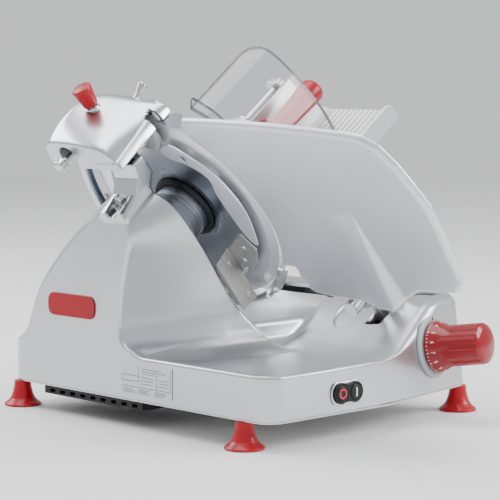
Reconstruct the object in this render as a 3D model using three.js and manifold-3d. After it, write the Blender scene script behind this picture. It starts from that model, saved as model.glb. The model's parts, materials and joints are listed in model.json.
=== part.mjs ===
// Gravity-feed deli slicer with a 300 mm blade, in millimetres, +Z up.
// The operator stands at -Y; the blade is on the left (-X), the sliding carriage on the right (+X).
import * as THREE from 'three';
import { ConvexGeometry } from 'three/addons/geometries/ConvexGeometry.js';
import { mergeVertices } from 'three/addons/utils/BufferGeometryUtils.js';
import Module from 'manifold-3d';

const wasm = await Module();
wasm.setup();

// ---- driving dimensions ----
const GAP = 0.3;                       // left between pieces that touch
const BLADE_RADIUS = 150;
const BLADE_TILT = 38;                 // blade normal above the horizontal, degrees
const GUARD_CENTRE = [116.4, 238, 275];  // centre of the ring guard, in the plane of the blade's edge
const BLADE_AXIS = [-3, 0];            // blade axis, measured from the guard's centre
const WALL = 6;                        // casting wall
const BASE_LEFT = -12;
const BASE_RIGHT = 402;
const BASE_FRONT = -54;
const BASE_REAR = 448;
const BASE_BOTTOM = 37;
const RIM_TOP = 93;
const TRAY_FLOOR = 84;
const FOOT_SPACING = [394, 437];
const FEET = [['front_left', 0, 0], ['front_right', 1, 0], ['rear_left', 0, 1], ['rear_right', 1, 1]];
const FOOT_RADIUS = 25;
const TOWER_FACE = -50;                // tower face, measured from the blade plane
const BLOCK_TOP = 158;                 // top of the rail housing on the right
const DECK_TOP = 118;                  // deck behind the tray
const KNOB_FACE_TURN = 12;             // the knob face, turned in plan, degrees
const KNOB_FACE_LEAN = 8;              // and leaning back, degrees
const FACE_START = [200, BASE_FRONT, BASE_BOTTOM];
const KNOB_CENTRE = [316.6, -21, 94.4];
const KNOB_LENGTH = 83;
const HUB_RADIUS = 38.8;
const SHAFT_RADIUS = 12;
const PULLEY_RADIUS = 34;
const PULLEY_NEAR = -80;
const PULLEY_FAR = -96;
const MOTOR_PLACE = [60, -125];        // motor axis in the blade's plane
const MOTOR_RADIUS = 38;
const MOTOR_PULLEY_RADIUS = 15;
const GUARD_IN = 153.5;                // ring guard round the blade
const GUARD_OUT = 167;
const TABLE_LEVEL = -75;               // carriage table top, along the blade's upward axis
const TABLE_NEAR = 6;
const TABLE_FAR = 298;
const END_WALL_Y = -118;
const ROD_PLACE = [70, -27];           // pusher rod, in the blade's plane
const ROD_RADIUS = 6;
const HANDLE_PLACE = [-3, -28];
const COVER_NEAR = 18;                 // sharpener cover, along the blade axis
const COVER_FAR = -100;
const RAIL_PLACE = [362, 112];         // carriage rail, x and z
const RAIL_RADIUS = 10;
const GAUGE_ROD_PLACE = [-178, -186];  // gauge slide rod, in the blade's plane
const SEGMENTS = 28;

// ---- materials ----
const paint = (color, roughness, metalness) => (
  new THREE.MeshStandardMaterial({ color, roughness, metalness })
);
const ALUMINIUM = paint(0xb9bdc1, 0.42, 0.9);
const LIGHT_ALUMINIUM = paint(0xd6d8d9, 0.4, 0.8);
const PLATE_ALUMINIUM = paint(0xb3bcc8, 0.3, 0.9);
const STEEL = paint(0xb5b7ba, 0.22, 1.0);
const POLISHED = paint(0xdadde0, 0.1, 1.0);
const BLACK = paint(0x17191c, 0.5, 0.0);
const DARK_METAL = paint(0x3c4146, 0.45, 0.8);
const RED = paint(0xbf1d2d, 0.28, 0.0);
const STONE = paint(0x8d8f90, 0.9, 0.0);
const CLEAR = paint(0xe8eef0, 0.05, 0.0);
const BLUE_GREY = paint(0x8b9aa6, 0.45, 0.6);
const WHITE = paint(0xe9e9e6, 0.4, 0.0);
const GREY = paint(0x8f969b, 0.45, 0.2);

// ---- frames ----
const DEGREE = Math.PI / 180;
const basis = (x, y, z, origin) => new THREE.Matrix4().makeBasis(
  new THREE.Vector3(...x), new THREE.Vector3(...y), new THREE.Vector3(...z)).setPosition(...origin);
const cosTilt = Math.cos(BLADE_TILT * DEGREE);
const sinTilt = Math.sin(BLADE_TILT * DEGREE);
// Blade frame: x runs to the rear, y up the blade's face, z out of the blade towards the carriage.
const BLADE_FRAME = basis([0, 1, 0], [-sinTilt, 0, cosTilt], [cosTilt, 0, sinTilt], GUARD_CENTRE);
const AXIS_FRAME = BLADE_FRAME.clone().multiply(new THREE.Matrix4().makeTranslation(...BLADE_AXIS, 0));
const turn = KNOB_FACE_TURN * DEGREE;
const lean = KNOB_FACE_LEAN * DEGREE;
const FACE_NORMAL = [
  Math.sin(turn) * Math.cos(lean),
  -Math.cos(turn) * Math.cos(lean),
  Math.sin(lean),
];
const FACE_ALONG = [Math.cos(turn), Math.sin(turn), 0];
const FACE_UP = new THREE.Vector3(...FACE_NORMAL).cross(new THREE.Vector3(...FACE_ALONG)).toArray();
const KNOB_FRAME = basis(FACE_ALONG, FACE_UP, FACE_NORMAL, KNOB_CENTRE);

const part = new THREE.Group();
const bladeGroup = new THREE.Group();
bladeGroup.applyMatrix4(BLADE_FRAME);
const axisGroup = new THREE.Group();
axisGroup.applyMatrix4(AXIS_FRAME);
const knobGroup = new THREE.Group();
knobGroup.applyMatrix4(KNOB_FRAME);
part.add(bladeGroup, axisGroup, knobGroup);

function add(name, geometry, material, parent = part) {
  const piece = new THREE.Mesh(geometry, material);
  piece.name = name;
  parent.add(piece);
  return piece;
}

// ---- solids ----
function solid(geometry) {
  const bare = geometry.clone();
  bare.deleteAttribute('normal');
  bare.deleteAttribute('uv');
  const merged = mergeVertices(bare, 1e-4);
  return new wasm.Manifold(new wasm.Mesh({
    numProp: 3,
    vertProperties: Float32Array.from(merged.attributes.position.array),
    triVerts: Uint32Array.from(merged.index.array),
  }));
}

function surface(body) {
  const mesh = body.getMesh();
  const geometry = new THREE.BufferGeometry();
  geometry.setAttribute('position', new THREE.BufferAttribute(mesh.vertProperties, 3));
  geometry.setIndex(new THREE.BufferAttribute(mesh.triVerts, 1));
  return geometry;
}

const join = (...parts) => surface(parts.map(solid).reduce((sum, next) => sum.add(next)));
const cut = (from, ...tools) => surface(
  tools.map(solid).reduce((rest, tool) => rest.subtract(tool), solid(from)));
const moved = (geometry, x, y, z) => geometry.clone().translate(x, y, z);
const placed = (geometry, matrix) => geometry.clone().applyMatrix4(matrix);

function outline(points, holes = []) {
  const shape = new THREE.Shape(points.map(([x, y]) => new THREE.Vector2(x, y)));
  shape.holes = holes;
  return shape;
}

const hole = (x, y, radius) => new THREE.Path().absarc(x, y, radius, 0, 2 * Math.PI, true);

// A plate: an outline in XY, from z = low to z = high.
function plate(points, low, high, holes = []) {
  const shape = Array.isArray(points) ? outline(points, holes) : points;
  const settings = { depth: high - low, bevelEnabled: false, curveSegments: 8 };
  return new THREE.ExtrudeGeometry(shape, settings).translate(0, 0, low);
}

// An outline in YZ, from x = low to x = high.
function slab(points, low, high, holes = []) {
  const geometry = plate(points, low, high, holes);
  return geometry.applyMatrix4(basis([0, 1, 0], [0, 0, 1], [1, 0, 0], [0, 0, 0]));
}

// An outline in ZX turned so that it runs along Y from low to high: points are [z, x].
function alongY(points, low, high, holes = []) {
  const geometry = plate(points, low, high, holes);
  return geometry.applyMatrix4(basis([0, 0, 1], [1, 0, 0], [0, 1, 0], [0, 0, 0]));
}

function box(x0, x1, y0, y1, z0, z1) {
  return new THREE.BoxGeometry(x1 - x0, y1 - y0, z1 - z0)
    .translate((x0 + x1) / 2, (y0 + y1) / 2, (z0 + z1) / 2);
}

// A turned piece about Z: the profile is a list of [radius, z].
function turned(profile, segments = SEGMENTS) {
  const points = profile.map(([radius, z]) => new THREE.Vector2(radius, z));
  let area = 0;
  points.forEach((p, i) => {
    const q = points[(i + 1) % points.length];
    area += p.x * q.y - q.x * p.y;
  });
  const ordered = area > 0 ? points : points.reverse();
  const onAxis = ordered.filter((p) => p.x === 0).length > 0;
  if (onAxis) {
    while (!(ordered[0].x === 0 && ordered.at(-1).x === 0)) {
      ordered.push(ordered.shift());
    }
  } else {
    ordered.push(ordered[0].clone());
  }
  return new THREE.LatheGeometry(ordered, segments).rotateX(Math.PI / 2);
}

const rod = (radius, z0, z1, segments = SEGMENTS) => turned(
  [[0, z0], [radius, z0], [radius, z1], [0, z1]], segments);
const tube = (inner, outer, z0, z1, segments = SEGMENTS) => turned(
  [[inner, z0], [outer, z0], [outer, z1], [inner, z1]], segments);

// Points anticlockwise along an arc, angles in degrees.
function arc(cx, cy, radius, from, to, steps = 5) {
  const points = [];
  for (let i = 0; i <= steps; i += 1) {
    const angle = (from + (to - from) * i / steps) * DEGREE;
    points.push([cx + radius * Math.cos(angle), cy + radius * Math.sin(angle)]);
  }
  return points;
}

function roundedBox(width, height, radius, steps = 4) {
  const x = width / 2 - radius;
  const y = height / 2 - radius;
  return [
    ...arc(x, y, radius, 0, 90, steps), ...arc(-x, y, radius, 90, 180, steps),
    ...arc(-x, -y, radius, 180, 270, steps), ...arc(x, -y, radius, 270, 360, steps),
  ];
}

// Part of a ring about Z between two angles in degrees.
function arcPlate(inner, outer, from, to, low, high, steps = 40) {
  const points = [...arc(0, 0, outer, from, to, steps), ...arc(0, 0, inner, to, from, steps)];
  return plate(points, low, high);
}

// The outline moved inwards by a distance; the points run anticlockwise.
function inset(points, distance) {
  const count = points.length;
  return points.map((p, i) => {
    const before = points[(i + count - 1) % count];
    const after = points[(i + 1) % count];
    const a = new THREE.Vector2(p[0] - before[0], p[1] - before[1]).normalize();
    const b = new THREE.Vector2(after[0] - p[0], after[1] - p[1]).normalize();
    const normal = new THREE.Vector2(-a.y - b.y, a.x + b.x);
    const scale = 2 * distance / Math.max(normal.lengthSq(), 0.6);
    return [p[0] + normal.x * scale, p[1] + normal.y * scale];
  });
}

// A skin stretched between two rings of 3-D points, with flat ends.
function loft(ringA, ringB) {
  const count = ringA.length;
  const vertices = [...ringA, ...ringB].flat();
  const index = [];
  for (let i = 0; i < count; i += 1) {
    const j = (i + 1) % count;
    index.push(i, j, count + j, i, count + j, count + i);
  }
  const flat = ringA.map(([, y, z]) => new THREE.Vector2(y, z));
  THREE.ShapeUtils.triangulateShape(flat, []).forEach(([a, b, c]) => {
    index.push(c, b, a);
    index.push(count + a, count + b, count + c);
  });
  const geometry = new THREE.BufferGeometry();
  geometry.setAttribute('position', new THREE.Float32BufferAttribute(vertices, 3));
  geometry.setIndex(index);
  return geometry;
}

// The convex body on the inner side of every plane [normal, point], each moved inwards.
function convex(planes, inwards = 0) {
  const list = planes.map(([normal, point]) => {
    const n = new THREE.Vector3(...normal).normalize();
    return [n, n.dot(new THREE.Vector3(...point)) - inwards];
  });
  const corners = [];
  list.forEach(([a, da], i) => list.slice(i + 1).forEach(([b, db], j) => {
    list.slice(i + j + 2).forEach(([c, dc]) => {
      const bc = b.clone().cross(c);
      const det = a.dot(bc);
      if (Math.abs(det) < 1e-6) return;
      const corner = bc.multiplyScalar(da)
        .add(c.clone().cross(a).multiplyScalar(db))
        .add(a.clone().cross(b).multiplyScalar(dc))
        .divideScalar(det);
      if (list.every(([n, d]) => n.dot(corner) < d + 1e-4)) corners.push(corner);
    });
  }));
  return new ConvexGeometry(corners);
}

// ---- base casting ----
function basePlan(inwards) {
  const left = BASE_LEFT + 30;
  return inset([
    ...arc(left, BASE_FRONT + 30, 30, 180, 270),
    [FACE_START[0], BASE_FRONT],
    ...arc(BASE_RIGHT - 20, 3, 20, 282, 360),
    ...arc(BASE_RIGHT - 20, BASE_REAR - 20, 20, 0, 90),
    ...arc(BASE_LEFT + 26, BASE_REAR - 26, 26, 90, 180),
  ], inwards);
}

// Tower rings: where it meets the left wall (y, z), and at the blade side in the blade frame.
const TOWER_WALL = [
  [178, 60], [196, 88], [211, 103], [219, 126], [216, 165], [208, 205], [198, 237], [199, 255],
  [209, 270],
  [226, 279], [244, 279.5], [270, 264], [300, 246], [347, 206], [383, 166], [405, 123], [423, 72],
  [430, 50],
].reverse();
const TOWER_BLADE_SIDE = [
  [-96, -228], [-84, -185], [-74, -160], [-63, -130], [-62, -95], [-66, -45], [-67, 0], [-62, 40],
  [-46, 64],
  [-20, 78], [6, 81], [32, 70], [62, 56], [109, 25], [145, -7], [167, -41], [185, -120], [190, -228],
].reverse();

function tower(inwards) {
  const wall = inset(TOWER_WALL, inwards).map(([y, z]) => [BASE_LEFT + inwards, y, z]);
  const side = inset(TOWER_BLADE_SIDE, inwards).map(([x, y]) => {
    const place = new THREE.Vector3(x, y, TOWER_FACE - inwards).applyMatrix4(BLADE_FRAME);
    return place.toArray();
  });
  return loft(wall, side);
}

const FACE_PLANE = [FACE_NORMAL, FACE_START];
const SLOPE_PLANE = [[-0.609, 0.142, 1], [261, 188, TRAY_FLOOR + 1]];
const REAR_SLOPE = [[-0.609, 0, 1], [261, 188, TRAY_FLOOR + 1]];
const REAR_FRONT = [[0, -1, 0.2], [0, 186, TRAY_FLOOR]];   // the rear housing's face behind the tray
const rearPlanes = [[[1, 0, 0], [BASE_RIGHT, 0, 0]], [[0, 1, 0], [0, BASE_REAR, 0]]];
const underside = (level) => [[0, 0, -1], [0, 0, level]];

function railBlock(inwards) {
  const top = [[0, 0, 1], [0, 0, BLOCK_TOP]];
  const bottom = underside(BASE_BOTTOM + 1 - inwards);
  const front = convex([...rearPlanes, FACE_PLANE, SLOPE_PLANE, top, bottom], inwards);
  const rear = convex([...rearPlanes, REAR_FRONT, REAR_SLOPE, top, bottom], inwards);
  return join(front, rear);
}

function deck(inwards) {
  return convex([
    ...rearPlanes, [[-1, 0, 0.25], [110, 0, BASE_BOTTOM]], REAR_FRONT,
    [[0, 0, 1], [0, 0, DECK_TOP]], underside(BASE_BOTTOM + 1 - inwards),
  ], inwards);
}

function beyondFace(inwards) {
  const far = 900;
  const normal = new THREE.Vector3(...FACE_NORMAL);
  const place = new THREE.Vector3(...FACE_START).addScaledVector(normal, -inwards);
  const ahead = box(-far, far, -far, far, 0, far);
  return placed(ahead, basis(FACE_ALONG, FACE_UP, FACE_NORMAL, place.toArray()));
}

function baseBody(inwards, bottom, top) {
  let body = solid(plate(basePlan(inwards), bottom, top));
  if (inwards === 0) {
    const left = BASE_LEFT + 10;
    const front = BASE_FRONT + 11;
    const tray = [[left, front], [330, front], [330, 200], [left, 200]];
    body = body.subtract(solid(plate(tray, TRAY_FLOOR, RIM_TOP + 1)));
  }
  [tower(inwards), railBlock(inwards), deck(inwards)].forEach((piece) => {
    body = body.add(solid(piece));
  });
  body = body.intersect(solid(plate(basePlan(inwards), bottom, 320)));
  return body.subtract(solid(beyondFace(inwards)));
}

const CARRIAGE_SLOT = [RAIL_PLACE[0] - 9, RAIL_PLACE[0] + 9, 12, 384];
const GAUGE_SLOT = [-192, -164, 40, 90];   // in the blade frame: x range, z range
const SWITCH_PLACE = [120, 61.5];
const GLAND_PLACE = [330, 66];
const REAR_FRAME = basis([1, 0, 0], [0, 0, -1], [0, 1, 0], [GLAND_PLACE[0], BASE_REAR, GLAND_PLACE[1]]);

function gaugeLug() {
  const lug = convex([
    [[0, -1, 0], [0, 45, 0]], [[0, 1, 0], [0, 75, 0]], [[0, 0, -1], [0, 0, 100]],
    [[-1, 0, 0], [312, 0, 0]],
    [[1, 0, 0.1], [336, 0, 130]], [[-sinTilt, 0, cosTilt], [331, 60, 222]],
  ]);
  return cut(lug, placed(moved(rod(11 + GAP, -60, 200, 20), ...GAUGE_ROD_PLACE, 0), BLADE_FRAME));
}

function makeCasting() {
  const outer = baseBody(0, BASE_BOTTOM, RIM_TOP);
  const inner = baseBody(WALL, BASE_BOTTOM - 5, TRAY_FLOOR - WALL);
  const tools = [
    placed(rod(30 + GAP, -90, -40, 40), AXIS_FRAME),
    box(CARRIAGE_SLOT[0], CARRIAGE_SLOT[1], CARRIAGE_SLOT[2], CARRIAGE_SLOT[3], 118, 170),
    placed(box(GAUGE_SLOT[0], GAUGE_SLOT[1], -300, -205, GAUGE_SLOT[2], GAUGE_SLOT[3]), BLADE_FRAME),
    box(SWITCH_PLACE[0] - 23, SWITCH_PLACE[0] + 23, BASE_FRONT - 5, BASE_FRONT + 12, 50, 73),
    placed(rod(9.5, -20, 20, 24), KNOB_FRAME),
    placed(rod(9, -20, 20, 20), REAR_FRAME),
  ];
  let body = outer.add(solid(gaugeLug())).subtract(inner);
  tools.forEach((tool) => {
    body = body.subtract(solid(tool));
  });
  return surface(body);
}

function makeBase() {
  add('base_casting', makeCasting(), ALUMINIUM);
  const bottom = BASE_BOTTOM - GAP;
  add('bottom_cover', plate(basePlan(4), bottom - 2, bottom), STEEL);
  const foot = turned([
    [0, 0], [FOOT_RADIUS, 0], [FOOT_RADIUS, 2.5], [21, 5], [15.5, 12], [12, 22],
    [10.8, bottom - 2 - GAP], [0, bottom - 2 - GAP],
  ], 20);
  FEET.forEach(([name, i, j]) => {
    add(`foot_${name}`, moved(foot, i * FOOT_SPACING[0], j * FOOT_SPACING[1], 0), RED);
  });
  const top = bottom - 2 - GAP;
  const slots = [];
  for (let i = 0; i < 9; i += 1) {
    const y = 192 + i * 21;
    slots.push(box(-20, 90, y, y + 10, top - 8, top - 4));
  }
  const tray = box(-5, 100, 182, 382, top - 11, top);
  add('vent_tray', cut(tray, box(-1, 96, 186, 378, top - 8, top + 1), ...slots), BLACK);
  add('cable_gland', placed(turned([
    [4, -14], [8.6, -14], [8.6, GAP], [13, GAP], [13, 5], [8, 8], [6.5, 24], [4, 24],
  ], 20), REAR_FRAME), BLACK);
  const onWall = (y, z) => basis([0, -1, 0], [0, 0, 1], [-1, 0, 0], [BASE_LEFT - GAP, y, z]);
  add('badge', placed(plate(roundedBox(96, 30, 12), 0, 1.6), onWall(314, 147)), RED);
  add('rating_plate', placed(plate(roundedBox(98, 40, 2), 0, 0.8), onWall(165.5, 65)), STEEL);
}

// ---- switch ----
function makeSwitch() {
  const place = [SWITCH_PLACE[0], BASE_FRONT - GAP, SWITCH_PLACE[1]];
  const front = basis([1, 0, 0], [0, 0, 1], [0, -1, 0], place);
  const button = 12;
  const holes = [hole(-button, 0, 10 + GAP), hole(button, 0, 10 + GAP)];
  add('switch_bezel', placed(plate(roundedBox(56, 29, 14.4), 0, 5, holes), front), BLACK);
  const cap = turned([[0, -10], [10, -10], [10, 5.5], [8.5, 6.5], [0, 6.5]], 20);
  add('off_button', placed(moved(cap, -button, 0, 0), front), RED);
  add('on_button', placed(moved(cap, button, 0, 0), front), WHITE);
}

// ---- blade, hub and drive ----
function makeBlade() {
  add('blade', turned([
    [15.9, 2.4], [55, 2.4], [62, 1.4], [112, -1.4], [125, -1.6], [BLADE_RADIUS - 0.6, 0],
    [BLADE_RADIUS, -0.4],
    [138, -4.4], [127, -6], [118, -6], [108, -4.2], [60, -0.4], [54, 0.8], [15.9, 0.8],
  ], 42), POLISHED, axisGroup);
  add('blade_shaft', turned([
    [0, 2.2], [15.6, 2.2], [15.6, 0.5], [32, 0.5], [32, -3.5], [SHAFT_RADIUS, -3.5],
    [SHAFT_RADIUS, PULLEY_NEAR],
    [9, PULLEY_NEAR], [9, -100], [0, -100],
  ], 24), STEEL, axisGroup);
  add('blade_pulley', turned([
    [9 + GAP, PULLEY_NEAR - GAP], [PULLEY_RADIUS + 1.5, PULLEY_NEAR - GAP],
    [PULLEY_RADIUS + 1.5, PULLEY_NEAR - 2],
    [PULLEY_RADIUS, PULLEY_NEAR - 3], [PULLEY_RADIUS, PULLEY_FAR + 3],
    [PULLEY_RADIUS + 1.5, PULLEY_FAR + 2],
    [PULLEY_RADIUS + 1.5, PULLEY_FAR], [9 + GAP, PULLEY_FAR],
  ]), DARK_METAL, axisGroup);
  add('bearing_housing', turned([
    [23.4, -6], [33.5, -6], [33.5, -1.5], [37, -1.5], [HUB_RADIUS, -3.2], [HUB_RADIUS, -14], [36, -16],
    [36, -20], [HUB_RADIUS, -22], [HUB_RADIUS, TOWER_FACE + GAP], [30, TOWER_FACE + GAP], [30, -74],
    [23.4, -74],
  ], 24), ALUMINIUM, axisGroup);
  [['front_bearing', -19], ['rear_bearing', -72]].forEach(([name, z]) => {
    add(name, turned([
      [SHAFT_RADIUS + GAP, z], [16, z], [16, z + 1], [19.5, z + 1], [19.5, z], [23.1, z],
      [23.1, z + 12],
      [19.5, z + 12], [19.5, z + 11], [16, z + 11], [16, z + 12], [SHAFT_RADIUS + GAP, z + 12],
    ], 16), STEEL, axisGroup);
  });
  add('seal_ring', turned([
    [HUB_RADIUS + 2 * GAP, -5], [45, -5], [47.5, -1.5], [47.5, 0], [HUB_RADIUS + 2 * GAP, 0],
  ], 28), BLACK, axisGroup);
  const guard = arcPlate(GUARD_IN, GUARD_OUT, -90, 96, -14, -2, 36);
  const legAngle = -50 * DEGREE;
  const legPlace = [161 * Math.cos(legAngle), 161 * Math.sin(legAngle), 0];
  const leg = moved(rod(8, TOWER_FACE + GAP, -8, 16), ...legPlace);
  const tab = join(box(-13, 4, 112, 159, -35.7, -15.5), box(-13, 4, 154.5, 159, -16, -10));
  add('ring_guard', join(guard, leg, tab), LIGHT_ALUMINIUM, bladeGroup);
  add('blade_scoop', arcPlate(155, 168.5, -145, -90.3, -11, -3, 12), POLISHED, bladeGroup);
}

function makeBladeCover() {
  const ear = plate([[96, -14], [164, -12], [164, 12], [96, 14]], 0.9, 3.2);
  const disc = turned([
    [0, 2.8], [56, 2.8], [63, 1.8], [112, -1], [115, -0.8], [100, 0.6], [64, 3.5], [57, 4.7], [0, 4.9],
  ], 36);
  const step = plate([[90, -13.8], [112, -13.8], [112, 13.8], [90, 13.8]], 0.2, 3.2);
  const screwHole = moved(rod(3.4, -20, 20, 16), 159, 0, 0);
  add('blade_cover', cut(join(disc, step, ear), screwHole), POLISHED, axisGroup);
  add('cover_screw', moved(turned([
    [0, 0.5], [3, 0.5], [3, 3.5], [7, 3.5], [8.5, 5], [8.5, 11], [7, 12.5], [0, 12.5],
  ], 20), 159, 0, 0), BLACK, axisGroup);
}

function makeDrive() {
  const [x, y] = MOTOR_PLACE;
  const shaftEnd = PULLEY_FAR - 3;
  add('motor_body', moved(turned([
    [0, shaftEnd - 70], [MOTOR_RADIUS, shaftEnd - 70], [MOTOR_RADIUS, shaftEnd - 6], [18, shaftEnd - 4],
    [18, shaftEnd - GAP], [6 + GAP, shaftEnd - GAP], [6 + GAP, shaftEnd - 20], [0, shaftEnd - 20],
  ], 24), x, y, 0), DARK_METAL, axisGroup);
  add('motor_pulley', moved(turned([
    [0, shaftEnd - 18], [6, shaftEnd - 18], [6, PULLEY_FAR], [MOTOR_PULLEY_RADIUS + 1.5, PULLEY_FAR],
    [MOTOR_PULLEY_RADIUS + 1.5, PULLEY_FAR + 2], [MOTOR_PULLEY_RADIUS, PULLEY_FAR + 3],
    [MOTOR_PULLEY_RADIUS, PULLEY_NEAR - 3], [MOTOR_PULLEY_RADIUS + 1.5, PULLEY_NEAR - 2],
    [MOTOR_PULLEY_RADIUS + 1.5, PULLEY_NEAR - GAP], [0, PULLEY_NEAR - GAP],
  ], 20), x, y, 0), DARK_METAL, axisGroup);
  // The belt is the outline round both pulleys, less the same outline a belt's thickness smaller.
  const around = (extra) => {
    const distance = Math.hypot(x, y);
    const heading = Math.atan2(y, x) / DEGREE;
    const spread = Math.acos((PULLEY_RADIUS - MOTOR_PULLEY_RADIUS) / distance) / DEGREE;
    return [
      ...arc(0, 0, PULLEY_RADIUS + extra, heading + spread, heading + 360 - spread, 20),
      ...arc(x, y, MOTOR_PULLEY_RADIUS + extra, heading - spread, heading + spread, 8),
    ];
  };
  const low = PULLEY_FAR + 3.5;
  const high = PULLEY_NEAR - 3.5;
  const belt = cut(plate(around(3 + 3 * GAP), low, high), plate(around(3 * GAP), low - 1, high + 1));
  add('drive_belt', belt, BLACK, axisGroup);
}

// ---- deflector and scraper behind the exposed part of the blade ----
function makeDeflector() {
  add('slice_deflector', plate([
    [-44, 107], [-67, 119], [-97, 98], [-122, 72], [-136, 37], [-139, 9], [-134, -18], [-125, -45],
    [-113, -28],
    [-106, 12], [-104, 42], [-106, 66], [-82, 87], [-58, 95],
  ], -17, -14.5, [hole(-80, 97, 5)]), PLATE_ALUMINIUM, bladeGroup);
  add('scraper_plate', plate([
    [-107, -22], [-122, -50], [-108, -74], [-74, -99], [-67.5, -54], [-97, -30],
  ], -19.8, -17.3, [hole(-100, -48, 3), hole(-88, -70, 3)]), STEEL, bladeGroup);
  // The bracket stands across the gap between the tower and the blade; its outline is [z, y] here.
  const bracket = slab([[-54, -49.5], [-48, -20.1], [-136, -20.1], [-134, -49.5]].reverse(), -69.8,
  -67.3);
  const flange = box(-67.3, -60, -125, -60, TOWER_FACE + GAP, TOWER_FACE + 3);
  add('scraper_bracket', join(bracket, flange, box(-69, -66, -125, -60, TOWER_FACE + GAP,
  TOWER_FACE + 3)),
    STEEL, bladeGroup);
}

// ---- sharpener ----
// Corners of the sharpener cover's domed hull in the blade frame, by how far up the blade they stand.
const COVER_CORNERS = [
  [-69, 145, -97], [-57, 167, -97], [-46, 178, -86], [-24, 181, -98], [16, 185, -99], [45, 185, -99],
  [57, 175, COVER_FAR], [61, 145, COVER_FAR], [-40, 180, -64], [41, 198, -64], [54, 190, -66],
  [-32, 180, -29], [39, 199, -28], [53, 191, -26], [-23, 177, 4], [9, 187, 2], [30, 189, 2],
  [47, 182, 2], [-57, 145, COVER_NEAR], [-55, 157, COVER_NEAR], [-28, 167, COVER_NEAR],
  [0, 171, COVER_NEAR], [28, 171, COVER_NEAR], [50, 159, COVER_NEAR], [57, 145, COVER_NEAR],
];

function coverHull(inwards, bottom) {
  const points = COVER_CORNERS.map(([x, y, z]) => new THREE.Vector3(
    x - Math.sign(x + 0.5) * inwards,
    y === 145 ? bottom : y - inwards,
    z - (Math.abs(z + 41) > 45 ? Math.sign(z + 41) * inwards : 0),
  ));
  return new ConvexGeometry(points);
}

const SHARPEN_PLACE = [12.3, -32];   // red knob: x and z in the blade frame
const KNOB_BASE = 195;
const STONE_PLACE = [-38, 130];
const DEBURR_STONE_PLACE = [-28, 136];
const CLAMP_PLACE = [18, 164];
const upright = (x, y, z) => basis([1, 0, 0], [0, 0, -1], [0, 1, 0], [x, y, z]);
// The deburring button leans off the blade axis; its rod runs down to the stone's arm.
const DEBURR_FRAME = new THREE.Matrix4()
  .makeTranslation(-12, 170, 17).multiply(new THREE.Matrix4().makeRotationX(-15 * DEGREE));

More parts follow.
